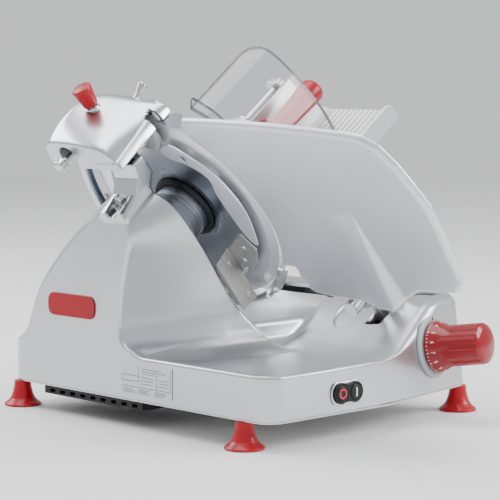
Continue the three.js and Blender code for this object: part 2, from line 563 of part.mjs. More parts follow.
function makeSharpener() {
  const knobHole = placed(rod(6, -60, 80, 16), upright(SHARPEN_PLACE[0], 180, SHARPEN_PLACE[1]));
  const buttonHole = placed(rod(4.5, -60, 40, 16), DEBURR_FRAME);
  const ringNotch = arcPlate(GUARD_IN - 4, GUARD_OUT + 3, 40, 100, -17, 1, 16);
  const [clampX, clampY] = CLAMP_PLACE;
  const arch = moved(join(rod(15, -110, -90, 20), box(-15, 15, -30, 0, -110, -90)), clampX, clampY, 0);
  const collar = placed(rod(8.5, 180, KNOB_BASE - 2.2, 24),
    upright(SHARPEN_PLACE[0], 0, SHARPEN_PLACE[1]));
  const shell = join(cut(coverHull(0, 145), coverHull(3, 140)), collar);
  const spotFace = placed(rod(11, KNOB_BASE - 2.1, KNOB_BASE + 10, 24),
    upright(SHARPEN_PLACE[0], 0, SHARPEN_PLACE[1]));
  add('sharpener_cover', cut(shell, spotFace, knobHole, buttonHole, ringNotch, arch),
    LIGHT_ALUMINIUM, bladeGroup);
  const post = box(-34, 40, 123, 167, -60, -48);
  const shelf = box(-34, 41, 163, 167, -60, -14.4);
  add('sharpener_frame', cut(join(post, shelf), knobHole), BLACK, bladeGroup);

  const [stoneX, stoneY] = STONE_PLACE;
  const [knobX, knobZ] = SHARPEN_PLACE;
  const carrierRod = placed(rod(5, 150, KNOB_BASE, 12), upright(knobX, 0, knobZ));
  add('grinder_carrier', join(
    carrierRod, box(knobX - 5, knobX + 5, 150, 157, -45, knobZ + 4),
    box(stoneX - 5, knobX + 5, 150, 157, -45, -37),
    box(stoneX - 5, stoneX + 5, stoneY - 4, 156, -45, -37), moved(rod(4, -38, -21.5, 12), stoneX,
    stoneY, 0),
  ), STEEL, bladeGroup);
  add('grinding_stone', moved(turned([
    [0, -21], [16, -21], [18, -19], [18, -12], [12, -11], [0, -13],
  ], 24), stoneX, stoneY, 0), STONE, bladeGroup);
  add('sharpening_knob', placed(turned([
    [0, 0], [9.5, 0], [10.5, 3], [13.5, 24], [12.5, 26.5], [9, 28], [0, 28],
  ], 24), upright(knobX, KNOB_BASE + GAP, knobZ)), RED, bladeGroup);

  const button = placed(turned([
    [0, -8], [3.5, -8], [3.5, 4.5], [5, 5.5], [7, 17], [6.5, 18.5], [0, 18.5],
  ], 16), DEBURR_FRAME);
  const [wheelX, wheelY] = DEBURR_STONE_PLACE;
  add('deburr_button', join(
    button, box(-16, -8, 148, 166, 10.4, 13.4), box(wheelX - 4, -8, 148, 154, 10.4, 13.4),
    box(wheelX - 4, wheelX + 4, wheelY - 5, 154, 10.4, 13.4), moved(rod(2.5, 7.5, 11, 12), wheelX,
    wheelY, 0),
  ), STEEL, bladeGroup);
  add('deburring_stone', moved(turned([
    [0, 4.5], [11, 4.5], [12, 5.5], [12, 8.6], [11, 9.6], [3, 9.6], [3, 7], [0, 7],
  ], 20), wheelX, wheelY, 0), STONE, bladeGroup);
  add('edge_guard', slab([[113, 24], [122, 33], [131, 33], [141, 23], [141, 4], [129, 4]], -57,
  -45),
    BLUE_GREY, bladeGroup);
  add('clamp_screw', moved(turned([
    [0, -120], [7, -120], [7.6, -118], [7.6, -108], [4, -107], [4, -60 - GAP], [0, -60 - GAP],
  ], 16), clampX, clampY, 0), STEEL, bladeGroup);
  const arm = slab([
    [69, -112], [74, -57], [93, -36.3], [122.6, -38], [122.6, -61], [105, -66], [90, -82], [84, -112],
  ], -40, 4);
  const toBlade = BLADE_FRAME.clone().invert();
  const towerSpace = moved(placed(tower(0), toBlade), 0, GAP, 0);
  const pocket = moved(rod(9, -140, -86, 20), -18, 89, 0);
  const leftWall = placed(box(BASE_LEFT - 300, BASE_LEFT, -300, 600, -300, 900), toBlade);
  add('sharpener_arm', cut(arm, towerSpace, pocket, leftWall), ALUMINIUM, bladeGroup);
  add('arm_bolt', moved(turned([[0, -94], [6.5, -94], [6.5, -86 - GAP], [0, -86 - GAP]], 16),
    -18, 89, 0), STEEL, bladeGroup);
}

// ---- gauge plate and thickness control ----
const GAUGE_OUTLINE = [
  [-113, 153], [-168, 152], [-261, 148], [-366, 139], [-396, 134], [-415, 121], [-430, 93],
  [-440, 61], [-447, 30],
  [-446, -5], [-443, -30], [-440, -73], [-442, -83], [-422, -104], [-361, -108], [-334, -122],
  [-314, -135],
  [-254, -137], [-174, -131], [-164, -124], [-166, -112], [-156, -104], [-161, -88],
];

function gaugeShape(inwards) {
  return inset([...GAUGE_OUTLINE, [-100, -88], [-60, 0], [-80, 153]], inwards);
}

function makeGauge() {
  const relief = rod(160, -40, 40, 72);
  const trimmed = (low, high, inwards) => cut(plate(gaugeShape(inwards), low, high), relief);
  const skin = trimmed(-10, -4, 0);
  const chamfer = trimmed(-4.2, -1, 3);
  add('gauge_plate', join(skin, chamfer), PLATE_ALUMINIUM, bladeGroup);
  const [x, y] = GAUGE_ROD_PLACE;
  add('gauge_rod', moved(rod(11, 22, 128, 20), x, y, 0), STEEL, bladeGroup);
  const sleeve = moved(rod(18, 44, 84, 24), x, y, 0);
  const web = slab([
    [-134, -0.7], [-100, -0.7], [-100, 8], [-128, 30], [-172, 84], [-190, 84], [-190, 44],
  ], x - 7, x + 7);
  const finger = box(x - 5, x + 5, -282, -190, 58, 70);
  const bore = moved(rod(11 + GAP, 30, 100, 24), x, y, 0);
  add('gauge_arm', cut(join(sleeve, web, finger), bore), ALUMINIUM, bladeGroup);

  const ring = turned([[11, GAP], [40, GAP], [40, 3.5], [37.5, 5.5], [11, 5.5]], 24);
  add('knob_index_ring', ring, GREY, knobGroup);
  const flutes = [];
  const fluteCount = 8;
  for (let i = 0; i < fluteCount; i += 1) {
    const angle = 2 * Math.PI * i / fluteCount;
    flutes.push(moved(rod(9, 33, 90, 8), 34 * Math.cos(angle), 34 * Math.sin(angle), 0));
  }
  const knob = turned([
    [0, 7], [33, 7], [34.5, 9], [32, 17], [28, 24], [27, 30], [27, 74], [25, 78], [18, 81.5],
    [0, KNOB_LENGTH],
  ], 24);
  add('thickness_knob', cut(knob, rod(8 + GAP, 0, 30, 16), ...flutes), RED, knobGroup);
  const cam = plate(arc(6, 0, 22, 0, 350, 24), -104, -94);
  add('knob_shaft', join(rod(8, -110, 29.5, 16), cam), STEEL, knobGroup);
}

// ---- carriage ----
const TABLE_WING = [[-2, TABLE_LEVEL], [12, -73], [25, -66], [38, -53], [47, -38], [52, -22]];

function tableProfile() {
  const top = [];
  const ribs = 12;
  const start = END_WALL_Y + 4 + GAP;
  const pitch = (TABLE_WING[0][0] - start) / ribs;
  for (let i = 0; i < ribs; i += 1) {
    top.push([start + i * pitch, TABLE_LEVEL], [start + (i + 0.7) * pitch, TABLE_LEVEL],
      [start + (i + 0.85) * pitch, TABLE_LEVEL - 1.5]);
  }
  const wingOut = TABLE_WING.map(([x, y], i) => [x + [0, 0, 1.5, 3, 4, 4][i],
  y - [6, 6, 5, 4, 3, 0][i]]);
  return [...top, ...TABLE_WING, ...wingOut.reverse(), [start, TABLE_LEVEL - 6]].reverse();
}

const GUARD_PROFILE = [
  [-118.3, -88], [-118.3, -60], [-125, -34], [-128, -8], [-126, 22], [-120, 48], [-107, 84],
  [-90, 113], [-68, 131],
];

function thickened(line, thickness) {
  const offset = line.map(([x, y], i) => {
    const a = line[Math.max(i - 1, 0)];
    const b = line[Math.min(i + 1, line.length - 1)];
    const length = Math.hypot(b[0] - a[0], b[1] - a[1]);
    return [x - (b[1] - a[1]) / length * thickness, y + (b[0] - a[0]) / length * thickness];
  });
  return [...line, ...offset.reverse()];
}

function makeCarriage() {
  add('carriage_table', plate(tableProfile(), TABLE_NEAR, TABLE_FAR), LIGHT_ALUMINIUM, bladeGroup);
  const wall = new THREE.Shape();
  const low = -89;
  const high = -61;
  wall.moveTo(low, TABLE_NEAR);
  wall.lineTo(high, TABLE_NEAR);
  wall.lineTo(high, 284);
  wall.absarc(high - 14, 286, 14, 0, Math.PI / 2);
  wall.lineTo(low, 300);
  add('carriage_end_wall', slab(wall, END_WALL_Y, END_WALL_Y + 4), LIGHT_ALUMINIUM, bladeGroup);
  const sheet = plate(thickened(GUARD_PROFILE, 4).reverse(), 40, 180);
  const lip = plate(thickened(GUARD_PROFILE.slice(4), 24).reverse(), 40, 44);
  const corner = box(-160, -40, 114, 160, 168, 190);
  const rounding = placed(rod(14, -100, 100, 24), basis([0, 0, 1], [0, 1, 0], [-1, 0, 0],
  [-80, 118, 166]));
  add('hand_guard', cut(join(sheet, lip), cut(corner, rounding)), CLEAR, bladeGroup);

  const flange = placed(box(-55, 45, TABLE_LEVEL - 14.5, TABLE_LEVEL - 6 - GAP, 212, 276), BLADE_FRAME);
  const [railX, railZ] = RAIL_PLACE;
  const top = railZ + 16 + GAP;
  const web = slab([
    [306, top], [364, top], [364, 172], [340, 230], [282, 300], [282, 357.5], [196, 357.5],
    [196, 330], [240, 270],
    [300, 175], [306, 160],
  ], railX - 6, railX + 6);
  const foot = box(railX - 6, railX + 6, 306, 364, top, top + 3);
  add('carriage_arm', join(flange, web, foot), LIGHT_ALUMINIUM);
  add('carriage_slider', alongY([
    [railZ - 18, railX - 16], [railZ - 18, railX + 20], [railZ + 16, railX + 20],
    [railZ + 16, railX - 16],
  ].reverse(), 305, 365, [hole(railZ, railX, RAIL_RADIUS + GAP)]), DARK_METAL);
  add('guide_shaft', placed(rod(RAIL_RADIUS, -438, -2, 24),
    basis([1, 0, 0], [0, 0, 1], [0, -1, 0], [railX, 0, railZ])), STEEL);
}

// ---- pusher ----
function makePusher() {
  const [x, y] = ROD_PLACE;
  add('pusher_rod', moved(rod(ROD_RADIUS, 18 + GAP, 280 - GAP, 20), x, y, 0), STEEL, bladeGroup);
  const block = (low, high) => plate([
    [57, -38], [80, -38], [84, -34], [84, -20], [80, -15], [62, -15], [57, -20],
  ], low, high);
  add('rod_block_lower', block(8, 18), ALUMINIUM, bladeGroup);
  add('rod_block_upper', block(280, 293), ALUMINIUM, bladeGroup);
  add('pusher_bush', moved(turned([
    [ROD_RADIUS + GAP, 168], [14, 168], [14, 171.7], [10, 171.7], [10, 200.3], [14, 200.3], [14, 204],
    [ROD_RADIUS + GAP, 204],
  ], 20), x, y, 0), STEEL, bladeGroup);
  const sleeve = moved(rod(14, 172, 200, 24), x, y, 0);
  const beam = plate([
    [78, -17], [72, -6], [58, 2], [36, 2], [12, -8], [-18, -13], [-20, -42], [2, -43], [18, -37],
    [34, -18], [52, -14],
    [62, -18],
  ].reverse(), 172, 181);
  const bore = moved(rod(10 + GAP, 160, 210, 24), x, y, 0);
  add('pusher_arm', cut(join(sleeve, beam), bore), ALUMINIUM, bladeGroup);
  const gripper = roundedBox(96, 62, 8);
  add('pusher_plate', moved(plate(gripper, 164, 172 - GAP), -41, -39, 0), LIGHT_ALUMINIUM, bladeGroup);
  add('pusher_handle', moved(turned([
    [0, 181 + GAP], [26, 181 + GAP], [27, 183], [26, 185], [15, 190], [13.5, 194], [14, 210],
    [18, 272], [17.5, 279],
    [13, 285], [0, 287],
  ], 20), ...HANDLE_PLACE, 0), RED, bladeGroup);
}

makeBase();
makeSwitch();
makeBlade();
makeBladeCover();
makeDrive();
makeDeflector();
makeSharpener();
makeGauge();
makeCarriage();
makePusher();

// The origin is the middle of the part's footprint, on the surface it stands on.
const bounds = new THREE.Box3().setFromObject(part, true);
const middle = bounds.getCenter(new THREE.Vector3());
part.position.set(-middle.x, -middle.y, -bounds.min.z);

export default part;
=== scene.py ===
"""The look of the deli slicer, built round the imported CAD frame.

Lengths are millimetres until place() turns them into the frame's metres.
"""
import itertools
import json
import math

import bpy
import bmesh
import numpy as np
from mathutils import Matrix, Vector
from mathutils.geometry import tessellate_polygon

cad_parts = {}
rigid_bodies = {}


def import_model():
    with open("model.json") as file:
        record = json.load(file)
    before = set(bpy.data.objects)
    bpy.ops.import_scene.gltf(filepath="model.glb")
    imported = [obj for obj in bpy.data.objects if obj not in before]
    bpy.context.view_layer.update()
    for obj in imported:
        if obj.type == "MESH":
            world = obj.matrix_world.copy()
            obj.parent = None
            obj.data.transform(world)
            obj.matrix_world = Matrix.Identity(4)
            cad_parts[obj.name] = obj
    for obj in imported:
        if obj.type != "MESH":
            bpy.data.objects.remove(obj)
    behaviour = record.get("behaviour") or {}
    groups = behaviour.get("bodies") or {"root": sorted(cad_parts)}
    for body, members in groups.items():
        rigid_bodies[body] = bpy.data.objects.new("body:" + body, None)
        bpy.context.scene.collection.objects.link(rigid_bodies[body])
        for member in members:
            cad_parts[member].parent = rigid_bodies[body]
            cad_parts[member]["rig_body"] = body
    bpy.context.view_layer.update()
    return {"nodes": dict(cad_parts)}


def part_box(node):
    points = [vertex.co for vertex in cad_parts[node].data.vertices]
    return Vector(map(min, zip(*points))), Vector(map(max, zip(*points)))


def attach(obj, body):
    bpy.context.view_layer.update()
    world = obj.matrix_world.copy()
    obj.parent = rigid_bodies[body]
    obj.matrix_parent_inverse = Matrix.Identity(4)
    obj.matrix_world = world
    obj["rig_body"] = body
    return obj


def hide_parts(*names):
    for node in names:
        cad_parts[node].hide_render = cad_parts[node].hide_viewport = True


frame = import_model()

NODES = frame["nodes"]
MM = 0.001
foot_low, foot_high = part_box("foot_front_left")
ORIGIN = np.array([(foot_low.x + foot_high.x) / 2, (foot_low.y + foot_high.y) / 2, foot_low.z])

# ---- frames: a rotation (columns) and an origin ----


def basis(x, y, z, origin):
    return np.array([x, y, z], float).T, np.array(origin, float)


def shifted(base, x, y, z):
    rotation, origin = base
    return rotation, origin + rotation @ np.array([x, y, z], float)


def inside(base, x, y, z, origin):
    """A frame given by its axes in another frame."""
    rotation, start = base
    return rotation @ np.array([x, y, z], float).T, start + rotation @ np.array(origin, float)


def place(points, base):
    rotation, origin = base
    return (np.asarray(points, float) @ rotation.T + origin) * MM + ORIGIN


def unit(vectors):
    return vectors / np.linalg.norm(vectors, axis=-1, keepdims=True)


TILT = math.radians(38)   # how far the blade leans back from upright
COS, SIN = math.cos(TILT), math.sin(TILT)
BLADE_PLACE = (116.4, 238, 275)
KNOB_PLACE = (316.6, -21, 94.4)
SWITCH_PLACE = (120, -54.3, 61.5)
GLAND_PLACE = (330, 448, 66)
WALL_LEFT = -12   # the casting's left face
TOWER_FACE = -50   # the tower's face towards the blade, along the blade's axis
GAUGE_ROD_PLACE = (-178, -186)   # rearwards and up the blade
WORLD = basis((1, 0, 0), (0, 1, 0), (0, 0, 1), (0, 0, 0))
BLADE = basis((0, 1, 0), (-SIN, 0, COS), (COS, 0, SIN), BLADE_PLACE)
AXIS = shifted(BLADE, -3, 0, 0)
TURN, LEAN = math.radians(12), math.radians(8)
FACE_NORMAL = np.array([math.sin(TURN) * math.cos(LEAN), -math.cos(TURN) * math.cos(LEAN), math.sin(LEAN)])
FACE_ALONG = np.array([math.cos(TURN), math.sin(TURN), 0])
KNOB = basis(FACE_ALONG, np.cross(FACE_NORMAL, FACE_ALONG), FACE_NORMAL, KNOB_PLACE)
FACE_START = np.array([200, -54, 37])

# ---- materials ----


class Nodes:
    def __init__(self, name):
        self.material = bpy.data.materials.new(name)
        self.material.use_nodes = True
        self.tree = self.material.node_tree
        self.shader = self.tree.nodes["Principled BSDF"]
        self.coordinates = self.tree.nodes.new("ShaderNodeTexCoord").outputs["Object"]

    def make(self, kind, links=None, **values):
        node = self.tree.nodes.new(kind)
        for name, value in values.items():
            if name in node.inputs:
                node.inputs[name].default_value = value
            else:
                setattr(node, name, value)
        for name, source in (links or {}).items():
            self.tree.links.new(source, node.inputs[name])
        return node

    def noise(self, scale, detail=3, roughness=0.55, stretch=None, turned=(0, 0, 0)):
        source = self.coordinates
        if stretch is not None:
            spin = self.make("ShaderNodeMapping", {"Vector": source}, Rotation=turned)
            source = self.make("ShaderNodeMapping", {"Vector": spin.outputs[0]}, Scale=stretch).outputs[0]
        node = self.make("ShaderNodeTexNoise", {"Vector": source}, Scale=scale, Detail=detail,
                         Roughness=roughness)
        return node.outputs["Fac"]

    def ramp(self, source, low, high, start=0.3, end=0.7):
        node = self.make("ShaderNodeValToRGB", {"Fac": source})
        elements = node.color_ramp.elements
        elements[0].position, elements[1].position = start, end
        elements[0].color, elements[1].color = low, high
        return node.outputs["Color"]

    def spread(self, source, low, high):
        node = self.make("ShaderNodeMapRange", {"Value": source}, **{"From Min": 0.3, "From Max": 0.7,
                         "To Min": low, "To Max": high})
        return node.outputs[0]

    def connect(self, source, socket):
        self.tree.links.new(source, self.shader.inputs[socket])

    def bump(self, layers):
        normal = None
        for source, strength, distance in layers:
            links = {"Height": source}
            if normal is not None:
                links["Normal"] = normal
            normal = self.make("ShaderNodeBump", links, Strength=strength, Distance=distance).outputs[0]
        self.connect(normal, "Normal")


def shade(color, factor):
    return tuple(min(1.0, c * factor) for c in color) + (1.0,)


def metal(name, color, roughness, kind="satin", turned=(0, 0, 0), anisotropy=0.0, metallic=1.0):
    """Metals: satin castings, brushed sheet along the mapped X axis, or polished."""
    n = Nodes(name)
    n.shader.inputs["Metallic"].default_value = metallic
    n.shader.inputs["Anisotropic"].default_value = anisotropy
    cloud = n.noise(9, 4)
    if kind == "brushed":
        grain = n.noise(60, 5, 0.7, (0.06, 4, 4), turned)
        n.connect(n.ramp(grain, shade(color, 0.9), shade(color, 1.06), 0.25, 0.75), "Base Color")
        n.connect(n.spread(grain, roughness * 0.75, roughness * 1.3), "Roughness")
        n.bump([(cloud, 0.03, 0.004), (grain, 0.12, 0.0002)])
    elif kind == "polished":
        fine = n.noise(700, 3, 0.6)
        n.connect(n.ramp(cloud, shade(color, 0.96), shade(color, 1.03)), "Base Color")
        n.connect(n.spread(cloud, roughness * 0.7, roughness * 1.5), "Roughness")
        n.bump([(fine, 0.02, 0.0001)])
    else:
        fine = n.noise(1500, 3, 0.6)
        n.connect(n.ramp(cloud, shade(color, 0.97), shade(color, 1.02)), "Base Color")
        n.connect(n.spread(fine, roughness * 0.88, roughness * 1.12), "Roughness")
        n.bump([(cloud, 0.02, 0.003), (fine, 0.08, 0.00012)])
    return n.material


def plastic(name, color, roughness, coat=0.0, grain=0.05, variation=0.05):
    n = Nodes(name)
    n.shader.inputs["IOR"].default_value = 1.4
    n.shader.inputs["Coat Weight"].default_value = coat
    n.shader.inputs["Coat Roughness"].default_value = 0.06
    cloud = n.noise(14, 3)
    fine = n.noise(900, 2, 0.6)
    n.connect(n.ramp(cloud, shade(color, 1 - variation), shade(color, 1 + variation)), "Base Color")
    n.connect(n.spread(fine, roughness * 0.85, roughness * 1.15), "Roughness")
    n.bump([(cloud, 0.04, 0.0015), (fine, grain, 0.00015)])
    return n.material


def clear_sheet(name, tint, roughness):
    n = Nodes(name)
    n.shader.inputs["Transmission Weight"].default_value = 1.0
    n.shader.inputs["IOR"].default_value = 1.28
    cloud = n.noise(20, 3)
    color = (tint, tint, tint * 1.02)
    n.connect(n.ramp(cloud, shade(color, 0.98), shade(color, 1.02)), "Base Color")
    n.connect(n.spread(cloud, roughness * 0.3, roughness), "Roughness")
    return n.material


def grit(name, color):
    n = Nodes(name)
    cells = n.make("ShaderNodeTexVoronoi", {"Vector": n.coordinates}, Scale=1400.0).outputs["Distance"]
    fine = n.noise(900, 4, 0.7)
    n.connect(n.ramp(fine, shade(color, 0.6), shade(color, 1.25), 0.35, 0.65), "Base Color")
    n.connect(n.spread(fine, 0.8, 0.97), "Roughness")
    n.bump([(cells, 0.5, 0.0004)])
    return n.material


ALUMINIUM = metal("cast_aluminium", (0.60, 0.62, 0.645), 0.33, metallic=0.95)
LIGHT = metal("light_aluminium", (0.66, 0.67, 0.68), 0.34, metallic=0.8)
TABLE = metal("table_aluminium", (0.58, 0.58, 0.585), 0.42, metallic=0.7)
PLATE = metal("plate_aluminium", (0.74, 0.775, 0.82), 0.36, metallic=0.6)
COVER = metal("cover_aluminium", (0.63, 0.65, 0.68), 0.25, metallic=1.0)
STEEL = metal("brushed_steel", (0.70, 0.695, 0.69), 0.3, "brushed", (0, 0, 0), 0.3)
TAB_STEEL = metal("tab_steel", (0.60, 0.59, 0.575), 0.34, "brushed", (0, -TILT, 0), 0.3)
TURNED = metal("turned_steel", (0.62, 0.63, 0.64), 0.2, "polished")
HOUSING = metal("housing_steel", (0.50, 0.53, 0.58), 0.36, "polished")
CHROME = metal("polished_steel", (0.66, 0.655, 0.65), 0.1, "polished")
# The blade's dish steel is dark and its bevel steel light. This is partly a real satin dish beside a ground
# bevel, and partly painted shade on the dish and a painted highlight on the bevel.
SATIN_DISH_AND_SHADE = metal("satin_dish_and_painted_shade", (0.32, 0.345, 0.385), 0.27, "polished")
GROUND_BEVEL_AND_HIGHLIGHT = metal("ground_bevel_and_painted_highlight", (0.80, 0.825, 0.86), 0.3, "polished", metallic=0.7)
BLUE_GREY = metal("blue_grey_metal", (0.42, 0.48, 0.53), 0.38, metallic=0.6)
DARK = metal("dark_metal", (0.15, 0.165, 0.185), 0.42, metallic=0.7)
BLACK = plastic("black_plastic", (0.006, 0.0065, 0.008), 0.5, grain=0.25, variation=0.2)
RUBBER = plastic("rubber_seal", (0.014, 0.017, 0.022), 0.5, grain=0.15, variation=0.15)
RED = plastic("red_gloss", (0.40, 0.0008, 0.009), 0.34, coat=0.15, grain=0.01)
DEEP_RED = plastic("deep_red_gloss", (0.27, 0.0004, 0.006), 0.24, coat=0.25, grain=0.01)
BADGE = plastic("badge_red", (0.36, 0.004, 0.012), 0.5)
GREY = plastic("grey_plastic", (0.42, 0.45, 0.48), 0.4, grain=0.15)
WHITE = plastic("white_plastic", (0.86, 0.86, 0.84), 0.3)
SILVER = metal("plate_silver", (0.62, 0.635, 0.65), 0.38, metallic=0.6)
INK = plastic("plate_ink", (0.05, 0.055, 0.06), 0.6)
CLEAR = clear_sheet("clear_plastic", 0.95, 0.035)
CLEAR_EDGE = clear_sheet("clear_edge", 0.36, 0.2)
GRIT = grit("grinding_grit", (0.42, 0.42, 0.42))

# ---- meshes ----


def piece(name, points, faces, material, nodes=(), body=None, sharp=32, normals=None, slot=None):
    """A mesh in metres that rides on the body of the nodes it replaces."""
    mesh = bpy.data.meshes.new(name)
    points = np.asarray(points, np.float32)
    if isinstance(faces, np.ndarray):
        count, corners = faces.shape
        mesh.vertices.add(len(points))
        mesh.vertices.foreach_set("co", points.ravel())
        mesh.loops.add(count * corners)
        mesh.loops.foreach_set("vertex_index", faces.ravel().astype(np.int32))
        mesh.polygons.add(count)
        mesh.polygons.foreach_set("loop_start", np.arange(0, count * corners, corners, dtype=np.int32))
        mesh.update(calc_edges=True)
    else:
        mesh.from_pydata(points.tolist(), [], [list(map(int, f)) for f in faces])
    mesh.validate()
    mesh.shade_smooth()
    if normals is not None:
        mesh.normals_split_custom_set_from_vertices(np.asarray(normals, np.float32).tolist())
    else:
        mesh.set_sharp_from_angle(angle=math.radians(sharp))
    obj = bpy.data.objects.new(name, mesh)
    bpy.context.scene.collection.objects.link(obj)
    mesh.materials.append(material)
    if normals is None:
        weighted = obj.modifiers.new("weighted", "WEIGHTED_NORMAL")
        weighted.keep_sharp = True
    nodes = [nodes] if isinstance(nodes, str) else list(nodes)
    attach(obj, body or NODES[nodes[0]]["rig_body"])
    if nodes:
        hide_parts(*nodes)
    return obj


def joined(shapes):
    """Several (points, faces) shapes as one."""
    points, faces, start = [], [], 0
    for p, f in shapes:
        points.extend(np.asarray(p, float).tolist())
        faces.extend([[i + start for i in face] for face in f])
        start += len(p)
    return np.array(points), faces


def soften(outline, radius, closed=True, steps=4):
    """The corners of an outline rounded to about that radius."""
    out = []
    count = len(outline)
    for i, corner in enumerate(outline):
        p = np.array(corner, float)
        if not closed and i in (0, count - 1):
            out.append(p)
            continue
        a = np.array(outline[i - 1], float) - p
        b = np.array(outline[(i + 1) % count], float) - p
        la, lb = np.linalg.norm(a), np.linalg.norm(b)
        turn = math.pi - math.acos(np.clip(a @ b / (la * lb), -1, 1))
        if turn < math.radians(10):
            out.append(p)
            continue
        cut = min(radius * math.tan(turn / 2), 0.46 * la, 0.46 * lb)
        start, end = p + a / la * cut, p + b / lb * cut
        for k in range(steps + 1):
            t = k / steps
            out.append((1 - t) ** 2 * start + 2 * t * (1 - t) * p + t * t * end)
    return np.array(out)


def smooth(points, steps=6, closed=True):
    """A Catmull-Rom curve through the points."""
    points = np.asarray(points, float)
    count = len(points)
    out = []
    for i in range(count if closed else count - 1):
        def at(k):
            return points[(i + k) % count] if closed else points[min(max(i + k, 0), count - 1)]
        p0, p1, p2, p3 = at(-1), at(0), at(1), at(2)
        for j in range(steps):
            t = j / steps
            out.append(0.5 * (2 * p1 + (p2 - p0) * t + (2 * p0 - 5 * p1 + 4 * p2 - p3) * t ** 2
                              + (3 * p1 - p0 - 3 * p2 + p3) * t ** 3))
    if not closed:
        out.append(points[-1])
    return np.array(out)


def area(outline):
    x, y = np.asarray(outline, float).T
    return 0.5 * np.sum(x * np.roll(y, -1) - np.roll(x, -1) * y)


def inset(outline, distance):
    """An anticlockwise outline moved inwards."""
    p = np.asarray(outline, float)
    a = p - np.roll(p, 1, 0)
    b = np.roll(p, -1, 0) - p
    a /= np.maximum(np.linalg.norm(a, axis=1, keepdims=True), 1e-9)
    b /= np.maximum(np.linalg.norm(b, axis=1, keepdims=True), 1e-9)
    normal = np.stack([-a[:, 1] - b[:, 1], a[:, 0] + b[:, 0]], 1)
    return p + normal * (2 * distance / np.maximum((normal ** 2).sum(1, keepdims=True), 1.2))


def lathe(profile, base, round_to=0.6, segments=96, start=0.0, end=360.0, wave=None):
    """A turned shape about the frame's Z from a (radius, z) profile, or part of a turn with flat ends."""
    profile = [tuple(p) for p in profile]
    on_axis = [i for i, p in enumerate(profile) if p[0] == 0]
    ring = not on_axis
    if not ring:
        while not (profile[0][0] == 0 and profile[-1][0] == 0):
            profile = profile[1:] + profile[:1]
    if area(profile) < 0:
        profile = profile[::-1]
    line = soften(profile, round_to, closed=ring) if round_to else np.array(profile, float)
    whole = abs(end - start) >= 360
    count = segments if whole else segments + 1
    angles = np.radians(start + (end - start) * np.arange(count) / segments)
    points, index = [], []
    for r, z in line:
        if r < 1e-6:
            index.append([len(points)])
            points.append((0, 0, z))
            continue
        index.append(list(range(len(points), len(points) + count)))
        for angle in angles:
            rr = r if wave is None else r - wave(r, z, angle)
            points.append((rr * math.cos(angle), rr * math.sin(angle), z))
    faces = []
    rows = len(line)
    for i in range(rows if ring else rows - 1):
        a, b = index[i], index[(i + 1) % rows]
        for j in range(count if whole else count - 1):
            k = (j + 1) % count
            if len(a) == 1:
                faces.append([a[0], b[k], b[j]])
            elif len(b) == 1:
                faces.append([a[j], a[k], b[0]])
            else:
                faces.append([a[j], a[k], b[k], b[j]])
    if not whole:
        flat = [Vector((r, z, 0)) for r, z in line]
        for tri in tessellate_polygon([flat]):
            faces.append([index[i][0] for i in tri])
            faces.append([index[i][count - 1] for i in reversed(tri)])
    return place(points, base), faces


def slab(outline, low, high, base, bevel=0.8, holes=(), steps=3):
    """A plate with rounded edges: an outline in XY, from z = low to z = high."""
    loops = [np.asarray(outline, float)] + [np.asarray(h, float) for h in holes]
    loops[0] = loops[0] if area(loops[0]) > 0 else loops[0][::-1]
    for i in range(1, len(loops)):
        loops[i] = loops[i] if area(loops[i]) < 0 else loops[i][::-1]
    levels = []
    for k in range(steps + 1):
        angle = math.pi / 2 * k / steps
        levels.append((bevel * (1 - math.sin(angle)), low + bevel * (1 - math.cos(angle))))
    levels += [(d, low + high - z) for d, z in reversed(levels)]
    points, faces, caps = [], [], {0: [], len(levels) - 1: []}
    for loop in loops:
        count = len(loop)
        first = len(points)
        for k, (distance, z) in enumerate(levels):
            ring = inset(loop, distance)
            if k in caps:
                caps[k].append((list(range(len(points), len(points) + count)), ring))
            points.extend([(x, y, z) for x, y in ring])
        for k in range(len(levels) - 1):
            a, b = first + k * count, first + (k + 1) * count
            for i in range(count):
                j = (i + 1) % count
                faces.append([a + i, a + j, b + j, b + i])
    for k, rings in caps.items():
        index = [i for numbers, _ in rings for i in numbers]
        flat = [[Vector((x, y, 0)) for x, y in ring] for _, ring in rings]
        for tri in tessellate_polygon(flat):
            corners = [points[index[i]] for i in tri]
            up = area([c[:2] for c in corners]) > 0
            face = [index[i] for i in tri]
            faces.append(face if up == (k != 0) else face[::-1])
    return place(points, base), faces


def arc(x, y, radius, degrees):
    """Points on a circle at the given angles."""
    angle = np.radians(degrees)
    return np.stack([x + radius * np.cos(angle), y + radius * np.sin(angle)], 1)


def circle(x, y, radius, count=48):
    angle = np.arange(count) * 2 * math.pi / count
    return np.stack([x + radius * np.cos(angle), y + radius * np.sin(angle)], 1)


def rounded(width, height, radius, x=0, y=0, steps=8):
    corners = [(x + width / 2, y + height / 2), (x - width / 2, y + height / 2),
               (x - width / 2, y - height / 2), (x + width / 2, y - height / 2)]
    return soften(corners, radius, steps=steps)


def box_shape(x0, x1, y0, y1, z0, z1, base, bevel=0.8):
    outline = soften([(x0, y0), (x1, y0), (x1, y1), (x0, y1)], bevel, steps=3)
    return slab(outline, z0, z1, base, bevel)


def direction(path, i, closed):
    """The direction of a path at its i-th point."""
    count = len(path)
    a = path[(i - 1) % count] if closed or i else path[i]
    b = path[(i + 1) % count] if closed or i < count - 1 else path[i]
    return (b - a) / np.linalg.norm(b - a)


